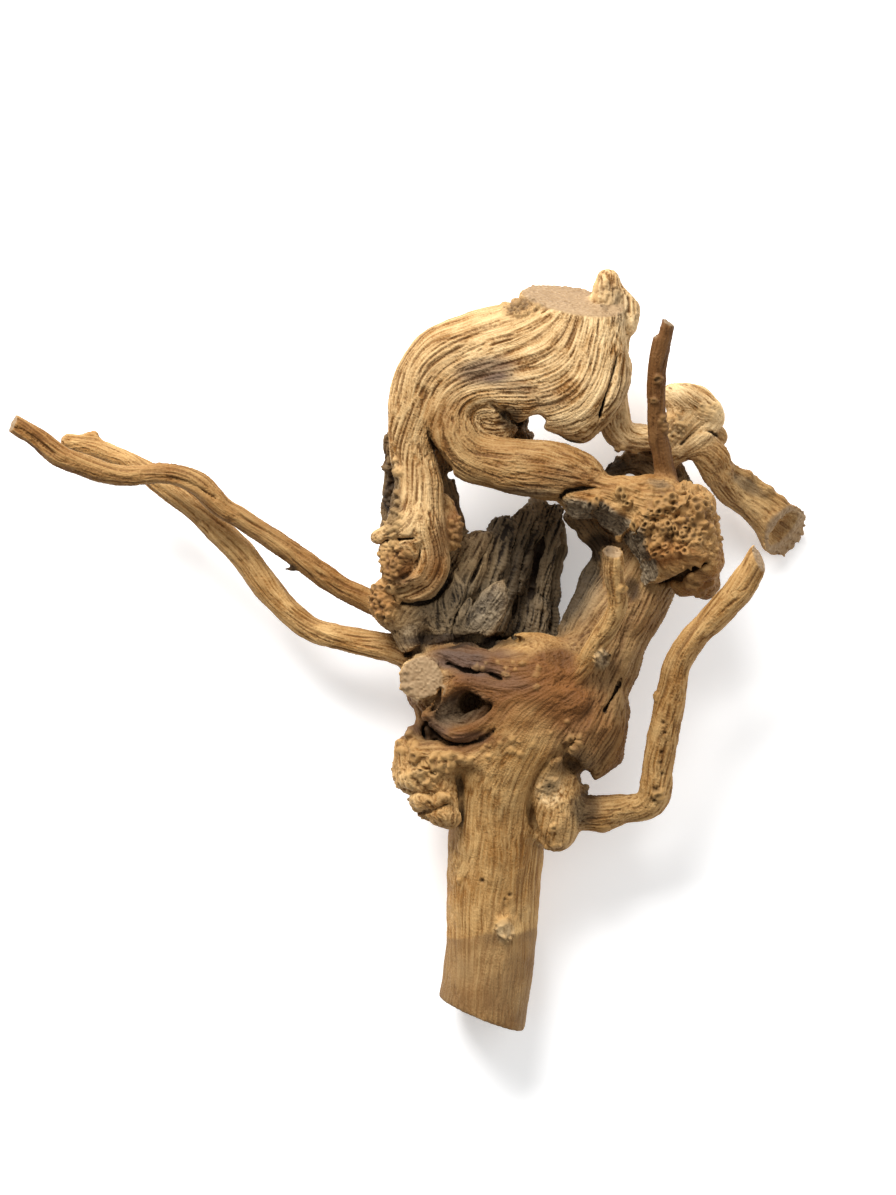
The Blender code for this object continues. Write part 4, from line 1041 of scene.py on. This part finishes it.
def feed(tree, socket, value):
    if isinstance(value, bpy.types.NodeSocket):
        tree.links.new(value, socket)
    else:
        socket.default_value = (*value, 1) if isinstance(value, tuple) else value


def setInputs(tree, node, values):
    for name, value in values.items():
        feed(tree, node.inputs[name], value)


def mask(tree, name):
    node = newNode(tree, "Attribute")
    node.attribute_name = name
    return node.outputs["Fac"]


def mixColour(tree, factor, first, second):
    node = newNode(tree, "Mix")
    node.data_type = "RGBA"
    for place, value in ((0, factor), (6, first), (7, second)):
        feed(tree, node.inputs[place], value)
    return node.outputs[2]


def maths(tree, operation, values, clamp):
    node = newNode(tree, "Math")
    node.operation = operation
    node.use_clamp = clamp
    for socket, value in zip(node.inputs, values):
        feed(tree, socket, value)
    return node.outputs[0]


def times(tree, first, second):
    return maths(tree, "MULTIPLY", (first, second), True)


def addUp(tree, parts, total):
    # weighted sum of masks, kept between 0 and 1
    for number, (socket, share) in enumerate(parts):
        total = maths(tree, "MULTIPLY_ADD", (socket, share, total), number == len(parts) - 1)
    return total


def makeWood():
    paint = bpy.data.materials.new("weatheredWood")
    paint.use_nodes = True
    tree = paint.node_tree
    shader = tree.nodes["Principled BSDF"]
    look = woodLook
    groove, grain, fine, patch = (mask(tree, name) for name in ("groove", "grain", "fine", "patch"))
    shade = addUp(tree, ((grain, 0.17), (fine, 0.13), (patch, 0.7)), 0.06)
    tone = mixColour(tree, shade, look["middle"], look["ridge"])
    bleached = times(tree, times(tree, shade, mask(tree, "pale")), 1.7)
    tone = mixColour(tree, bleached, tone, look["pale"])
    # among these, the wart caps are mixed towards the ridge colour as a painted highlight
    for name, share, colour in (("red", 0.9, "red"), ("orange", 0.9, "orange"), ("purple", 0.9, "purple"),
                                ("clean", 0.8, "clean"), ("hollow", 0.28, "groove"), ("wart", 0.22, "ridge")):
        tone = mixColour(tree, times(tree, mask(tree, name), share), tone, look[colour])
    tone = mixColour(tree, times(tree, groove, 0.68), tone, look["groove"])
    furrow = addUp(tree, ((groove, 0.8), (fine, -0.1), (patch, -0.9)), 0.68)
    bark = mixColour(tree, furrow, look["grey"], look["greyGroove"])
    speck = addUp(tree, ((fine, 0.15), (grain, 0.15), (patch, 0.7)), 0.05)
    ash = mixColour(tree, speck, look["ashDark"], look["ashLight"])
    sawn = addUp(tree, ((grain, 0.22), (patch, 0.3)), 0.45)
    face = mixColour(tree, sawn, look["clean"], look["cutFace"])
    for name, colour in (("grey", bark), ("ash", ash), ("cut", face)):
        tone = mixColour(tree, mask(tree, name), tone, colour)
    # painted shade: the recess, crease and pit masks darken hollows, creases, pits and the wood between
    # warts; the dark mask is partly dark wood and partly painted shade
    for name, share in (("recessShade", 0.75), ("creaseShade", 0.8), ("pit", 0.8), ("dark", 0.9)):
        tone = mixColour(tree, times(tree, mask(tree, name), share), tone, look["dark"])
    bump = newNode(tree, "Bump")
    setInputs(tree, bump, {"Strength": look["poreStrength"], "Distance": look["poreDepthM"], "Height": fine})
    setInputs(tree, shader, {"Base Color": tone, "Roughness": look["roughness"],
                             "Specular IOR Level": look["gloss"], "Normal": bump.outputs[0]})
    return paint


wood.data.materials.append(makeWood())


# floor and lights: place, size and power of each lamp
stageSettings = {
    "floorSize": 12,
    "floorDrop": 0.0002,  # just under the wood, so that the two never fight
    "floorColour": (0.97, 0.97, 0.97),
    "floorRoughness": 0.9,
    "floorGlow": 0.3,
    "sky": 0.34,
    "lamps": {
        "keyLight": ((-0.6, 1.5, 1.2), 1.1, 72),
        "fillLight": ((1.5, 0.2, 1.3), 1.8, 13),
    },
}


def makeStage():
    stage = stageSettings
    bpy.ops.mesh.primitive_plane_add(size=stage["floorSize"], location=(0, 0, -stage["floorDrop"]))
    floor = bpy.context.object
    floor.name = "floor"
    paint = bpy.data.materials.new("paleFloor")
    paint.use_nodes = True
    shader = paint.node_tree.nodes["Principled BSDF"]
    setInputs(paint.node_tree, shader, {
        "Base Color": stage["floorColour"], "Roughness": stage["floorRoughness"],
        "Emission Color": (1, 1, 1), "Emission Strength": stage["floorGlow"]})
    floor.data.materials.append(paint)
    for name, (place, size, power) in stage["lamps"].items():
        data = bpy.data.lights.new(name, "AREA")
        data.size = size
        data.energy = power
        lamp = bpy.data.objects.new(name, data)
        lamp.location = place
        lamp.rotation_euler = (Vector((0, 0, 0)) - Vector(place)).to_track_quat("-Z", "Y").to_euler()
        bpy.context.collection.objects.link(lamp)
    world = bpy.context.scene.world or bpy.data.worlds.new("studio")
    bpy.context.scene.world = world
    world.use_nodes = True
    sky = world.node_tree.nodes["Background"]
    sky.inputs["Color"].default_value = (1, 1, 1, 1)
    sky.inputs["Strength"].default_value = stage["sky"]


# camera: straight above the piece, long lens, the trunk's foot towards the lower edge
cameraSettings = {
    "aimX": 0.0232,
    "aimY": 0.0330,
    "heightM": 3.2,
    "woodM": 0.06,  # height in the wood where the framing is exact
    "frameHeightM": 0.717,  # height of floor in view
    "sensorMm": 36,
    "farM": 50,
}


def makeCamera():
    view = cameraSettings
    data = bpy.data.cameras.new("camera")
    camera = bpy.data.objects.new("camera", data)
    bpy.context.collection.objects.link(camera)
    camera.location = (view["aimX"], view["aimY"], view["heightM"])
    data.sensor_width = view["sensorMm"]
    data.lens = view["sensorMm"] * (view["heightM"] - view["woodM"]) / view["frameHeightM"]
    data.clip_end = view["farM"]
    bpy.context.scene.camera = camera


def setColours():
    view = bpy.context.scene.view_settings
    view.view_transform = "Standard"
    view.look = "None"


makeStage()
makeCamera()
setColours()
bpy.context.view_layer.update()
say("ready")
